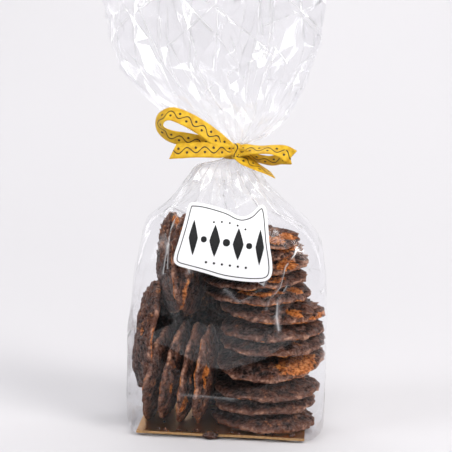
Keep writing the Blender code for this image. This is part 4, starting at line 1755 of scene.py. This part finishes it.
@dataclass
class Sticker:
    """The die-cut sticker on the front, with a thin line inside its edge and a plain ornament."""

    form: BagForm
    clearance: float = 1.0
    thickness: float = 0.22
    ink_lift: float = 0.05
    keyline_inset: float = 1.5
    keyline_width: float = 0.46
    grid_step: float = 2.0  # of the points inside a shape, which let it bend with the bag
    grid_gap: float = 0.7  # between those points and its edge
    blob_corners: int = 28
    # its cut edge, clockwise from the top left corner: x and height on the front
    edge: Outline = (
        (-17.6, 120.6), (-10.9, 120.3), (-0.3, 117.9), (5.2, 115.6), (8.6, 115.1), (12.3, 116.5),
        (15.2, 119.4), (17.4, 120.6), (19.4, 119.2), (20.8, 113.8), (22.2, 103.3), (23.9, 94.1),
        (24.2, 88.6), (22.9, 85.4), (19.4, 83.7), (11.3, 83.4), (0.0, 84.5), (-10.0, 87.0),
        (-18.6, 88.9), (-23.0, 90.0), (-25.1, 92.0), (-25.0, 95.6), (-23.4, 101.5), (-21.3, 110.0),
        (-19.9, 117.6), (-19.2, 119.6))

    def _edge_loop(self, inset: float = 0.0) -> list[Vector]:
        """The sticker's edge as close points, drawn in by an inset.

        Args:
            inset: how far inside the cut edge, in millimetres.

        Returns:
            Points in x and height.
        """
        points = [Vector((x, z, 0.0)) for x, z in self.edge]
        ring = points[-1:] + points + points[:2]
        loop = []
        for i in range(1, len(points) + 1):
            for step in range(4):
                loop.append(spline_point(ring[i - 1:i + 3], 1.0 + step / 4.0))
        if inset:
            moved = []
            for i, point in enumerate(loop):
                along = (loop[(i + 1) % len(loop)] - loop[i - 1]).normalized()
                moved.append(point + Vector((along.y, -along.x, 0.0)) * inset)
            loop = moved
        return loop

    def _on_front(self, x: float, height: float, lift: float) -> Vector:
        """A point on the sticker's plane, lifted towards the viewer."""
        return Vector((x, self.form.front(x, height) - self.clearance - lift, height))

    def _sheet(self, bm: Mesh, loop: list[Vector], lift: float) -> list[Vert]:
        """Adds a flat shape that follows the bag's front.

        Args:
            bm: the mesh that gets it.
            loop: its edge, in x and height.
            lift: how far it stands in front of the sticker's back.

        Returns:
            The points of its edge, in order.
        """
        flat = [Vector((p.x, p.y)) for p in loop]
        shape = [(p.x, p.y) for p in flat]
        low_x, high_x = min(p.x for p in flat), max(p.x for p in flat)
        low_z, high_z = min(p.y for p in flat), max(p.y for p in flat)
        step = self.grid_step
        inner = []
        x = low_x + step
        while x < high_x:
            z = low_z + step
            while z < high_z:
                inner.append(Vector((x, z)))
                z += step
            x += step
        keep = [p for p in inner
                if within(p.x, p.y, shape) and min((p - q).length for q in flat) > self.grid_gap]
        corners, _, faces, origins, _, _ = geometry.delaunay_2d_cdt(
            flat + keep, [], [list(range(len(flat)))], 1, 1e-4)
        verts = [bm.verts.new(self._on_front(c[0], c[1], lift)) for c in corners]
        for face in faces:
            bm.faces.new([verts[i] for i in face])
        edge: list[Vert | None] = [None] * len(flat)
        for vert, from_ in zip(verts, origins):
            for index in from_:
                if index < len(flat):
                    edge[index] = vert
        return [vert for vert in edge if vert is not None]

    def build_paper(self, material: Material) -> Piece:
        """Makes the sheet of paper.

        Args:
            material: the paper's finish.

        Returns:
            The piece.
        """
        bm = bmesh.new()
        loop = self._edge_loop()
        front = self._sheet(bm, loop, self.thickness)
        back = self._sheet(bm, loop, 0.0)
        for i in range(len(front)):
            j = (i + 1) % len(front)
            bm.faces.new((front[i], front[j], back[j], back[i]))
        bmesh.ops.recalc_face_normals(bm, faces=bm.faces)
        return mesh_piece("sticker", bm, [material])

    def _blob(self, x: float, z: float, wide: float, high: float, power: float) -> list[Vector]:
        """An outline between a lozenge (power 1) and an oval (power 2)."""
        loop = []
        for i in range(self.blob_corners):
            angle = TURN * i / self.blob_corners
            c, s = math.cos(angle), math.sin(angle)
            loop.append(Vector((x + wide * math.copysign(abs(c) ** (2.0 / power), c),
                                z + high * math.copysign(abs(s) ** (2.0 / power), s), 0.0)))
        return loop

    def build_print(self, ink: Material) -> Piece:
        """Makes the line inside the edge and the ornament, as thin layers of ink.

        Args:
            ink: the ink's finish.

        Returns:
            The piece.
        """
        lift = self.thickness + self.ink_lift
        bm = bmesh.new()
        outer = self._edge_loop(self.keyline_inset)
        inner = self._edge_loop(self.keyline_inset + self.keyline_width)
        rings = [[bm.verts.new(self._on_front(p.x, p.y, lift)) for p in ring] for ring in (outer, inner)]
        for i in range(len(outer)):
            j = (i + 1) % len(outer)
            bm.faces.new((rings[0][i], rings[0][j], rings[1][j], rings[1][i]))
        for shape in self._ornament():
            self._sheet(bm, shape, lift)
        bmesh.ops.recalc_face_normals(bm, faces=bm.faces)
        for face in bm.faces:
            if face.normal.y > 0.0:
                face.normal_flip()
        return mesh_piece("sticker_print", bm, [ink])

    def _ornament(self) -> list[list[Vector]]:
        """Plain shapes in a leaning row: lozenges and discs between two rows of dots."""
        lean = 0.1
        shapes = []
        row = ((-16.4, 1.0, 2.3, 8.6), (-10.8, 2.0, 1.5, 1.5), (-5.0, 1.0, 2.7, 7.8), (1.2, 2.0, 1.8, 1.8),
               (7.4, 1.0, 2.7, 7.8), (13.2, 2.0, 1.5, 1.5), (18.8, 1.0, 2.1, 8.8))
        for x, power, wide, high in row:
            shapes.append(self._blob(x * 0.95 - 0.3, 102.4 - lean * x, wide, high, power * 1.12))
        for i in range(5):
            x = -6.0 + 4.0 * i
            shapes.append(self._blob(x, 112.0 - lean * x - 0.02 * x * x, 0.5, 0.5, 2.0))
        for i in range(6):
            x = -9.0 + 4.0 * i
            shapes.append(self._blob(x, 91.4 - lean * x, 0.6, 0.6, 2.0))
        return shapes


@dataclass
class BackSeam:
    """The fin seam that closes the film's tube, pressed flat against the back."""

    form: BagForm
    width: float = 9.0
    low: float = 6.0
    high: float = 124.0
    rows: int = 70
    outside: float = 60.0  # well behind the bag, where the search for the sheet starts

    def build(self, material: Material, film: BVHTree) -> Piece:
        """Makes the seam, a second layer of film lying on the first.

        Args:
            material: the film's finish.
            film: the sheet it lies on, in millimetres.

        Returns:
            The piece.
        """
        bm = bmesh.new()
        lines = []
        for row in range(self.rows + 1):
            height = self.low + (self.high - self.low) * row / self.rows
            drift = 1.4 * math.sin(height * 0.031)
            line = []
            for side in (-0.5, -0.2, 0.15, 0.5):
                x = self.form.station_at(height).shift + drift + side * self.width
                hit, _, _, _ = film.ray_cast(Vector((x, self.outside, height)), VIEWER, self.outside)
                y = hit.y if hit is not None else -self.form.front(x, height)
                line.append(bm.verts.new(kept_in_box(Vector((x, y + 0.2 + 0.5 * (side + 0.5), height)), 0.1)))
            lines.append(line)
        for low, high in zip(lines, lines[1:]):
            for i in range(len(low) - 1):
                bm.faces.new((low[i + 1], low[i], high[i], high[i + 1]))
        return mesh_piece("back_seam", bm, [material], smooth=True)


@dataclass(frozen=True)
class Softbox:
    """A square studio lamp: where it stands in metres, its size and its power in watts."""

    name: str
    place: Triple
    size: Pair
    power: float
    colour: str = "#ffffff"
    aim: Triple = (0.0, 0.0, 0.1)


@dataclass
class Studio:
    """The pale floor that curves up behind the bag, and the lamps round it."""

    finish: MattPaperSweep
    half_width: float = 4.0
    front: float = -4.0
    bend: float = 0.5
    radius: float = 2.4
    top: float = 3.4
    bend_steps: int = 16
    world: str = "#3c3c3e"
    lamps: tuple[Softbox, ...] = (
        Softbox("key", (1.25, -0.9, 1.0), (0.7, 0.9), 23.0, "#fffdfa"),
        Softbox("fill", (-1.4, -0.9, 0.85), (0.6, 0.9), 12.0, "#fafcff"),
        Softbox("front", (0.1, -1.7, 1.6), (1.2, 0.7), 23.0),
        Softbox("overhead", (0.1, -0.1, 1.9), (1.6, 1.6), 10.5),
        Softbox("backdrop", (0.0, 1.3, 1.9), (3.2, 1.0), 38.0, aim=(0.0, 2.0, 0.1)),
        Softbox("rim_left", (-1.1, 0.9, 0.6), (0.35, 1.1), 2.5),
        Softbox("rim_right", (1.1, 0.9, 0.6), (0.35, 1.1), 3.0),
    )

    def build(self) -> Piece:
        """Makes the sweep, the lamps and the dim room round them.

        Returns:
            The sweep.
        """
        path = [(self.front, 0.0), (-1.0, 0.0), (0.0, 0.0), (self.bend, 0.0)]
        for i in range(1, self.bend_steps + 1):
            angle = math.pi / 2.0 * i / self.bend_steps
            path.append((self.bend + self.radius * math.sin(angle), self.radius * (1.0 - math.cos(angle))))
        path.append((self.bend + self.radius, self.top))
        bm = bmesh.new()
        rows = [[bm.verts.new((x, y, z)) for x in (-self.half_width, self.half_width)] for y, z in path]
        for low, high in zip(rows, rows[1:]):
            bm.faces.new((low[0], low[1], high[1], high[0])).smooth = True
        sweep = mesh_object("studio_sweep", bm, [self.finish.material()])
        for lamp in self.lamps:
            self._hang(lamp)
        room = bpy.data.worlds.new("dim_room")
        room.use_nodes = True
        room.node_tree.nodes["Background"].inputs["Color"].default_value = linear(self.world)
        bpy.context.scene.world = room
        return sweep

    def _hang(self, lamp: Softbox) -> None:
        """Adds one lamp and turns it to its aim."""
        light = bpy.data.lights.new(lamp.name, "AREA")
        light.shape = "RECTANGLE"
        light.size, light.size_y = lamp.size
        light.energy = lamp.power
        light.color = linear(lamp.colour)[:3]
        holder = add_object(lamp.name, light)
        holder.location = lamp.place
        holder.rotation_euler = (Vector(lamp.aim) - Vector(lamp.place)).to_track_quat("-Z", "Y").to_euler()


@dataclass
class PhotoCamera:
    """The camera at the photograph's place: near, a little above and to the right."""

    aim: Triple = (-1.5, 0.0, 106.4)
    distance: float = 735.0
    elevation: float = math.radians(8.0)
    azimuth: float = math.radians(3.5)
    roll: float = math.radians(1.74)
    sensor: float = 36.0
    picture_width: float = 235.0  # millimetres across the picture at the aim

    def build(self) -> Piece:
        """Makes the camera and gives it to the scene.

        Returns:
            The camera.
        """
        flat = math.cos(self.elevation)
        way = Vector((flat * math.sin(self.azimuth), -flat * math.cos(self.azimuth),
                      math.sin(self.elevation)))
        data = bpy.data.cameras.new("photo_camera")
        data.sensor_width = self.sensor
        data.lens = self.sensor * self.distance / self.picture_width
        data.clip_end = 50.0
        camera = add_object("photo_camera", data)
        camera.location = (Vector(self.aim) + way * self.distance) * MM
        facing = (-way).to_track_quat("-Z", "Y").to_matrix()
        camera.rotation_euler = (facing @ Matrix.Rotation(self.roll, 3, "Z")).to_euler()
        bpy.context.scene.camera = camera
        return camera


def tree_of(pieces: list[Piece]) -> BVHTree:
    """One search tree in millimetres over the faces of several pieces.

    Args:
        pieces: mesh objects that sit at the origin.

    Returns:
        The tree.
    """
    points: list[Vector] = []
    faces: list[list[int]] = []
    for piece in pieces:
        start = len(points)
        points.extend(vert.co / MM for vert in piece.data.vertices)
        faces.extend([start + i for i in face.vertices] for face in piece.data.polygons)
    return BVHTree.FromPolygons(points, faces)


def main() -> None:
    """Builds the studio and the bag, piece by piece."""
    scene = bpy.context.scene
    scene.view_settings.view_transform = "Standard"
    scene.cycles.transparent_max_bounces = 64
    PhotoCamera().build()
    Studio(MattPaperSweep()).build()
    LOG.info("studio and camera are set")

    form = BagForm()
    biscuits = CookieStack(TemperedChocolate()).build()
    LOG.info("%d biscuits", len(biscuits))
    Crumbs().build(biscuits[0].data.materials[0])
    BaseCard().build(GoldFoilCard().material(), CutGreyBoard().material())
    LOG.info("card and crumbs")

    film_material = PolypropyleneFilm().material()
    film = FilmSheet(form).build(film_material, tree_of(biscuits))
    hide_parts("bag")
    seam = BackSeam(form).build(film_material, tree_of([film]))
    LOG.info("film of %d faces", len(film.data.polygons))

    bow = RibbonBow().build(WovenSatin())
    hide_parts("ribbon")
    sticker = Sticker(form)
    paper = sticker.build_paper(CoatedPaper().material())
    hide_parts("label")
    sticker.build_print(PrintingInk().material())
    LOG.info("ribbon and sticker")


if __name__ == "__main__":
    logging.basicConfig(level=logging.INFO, format="%(message)s")
    main()
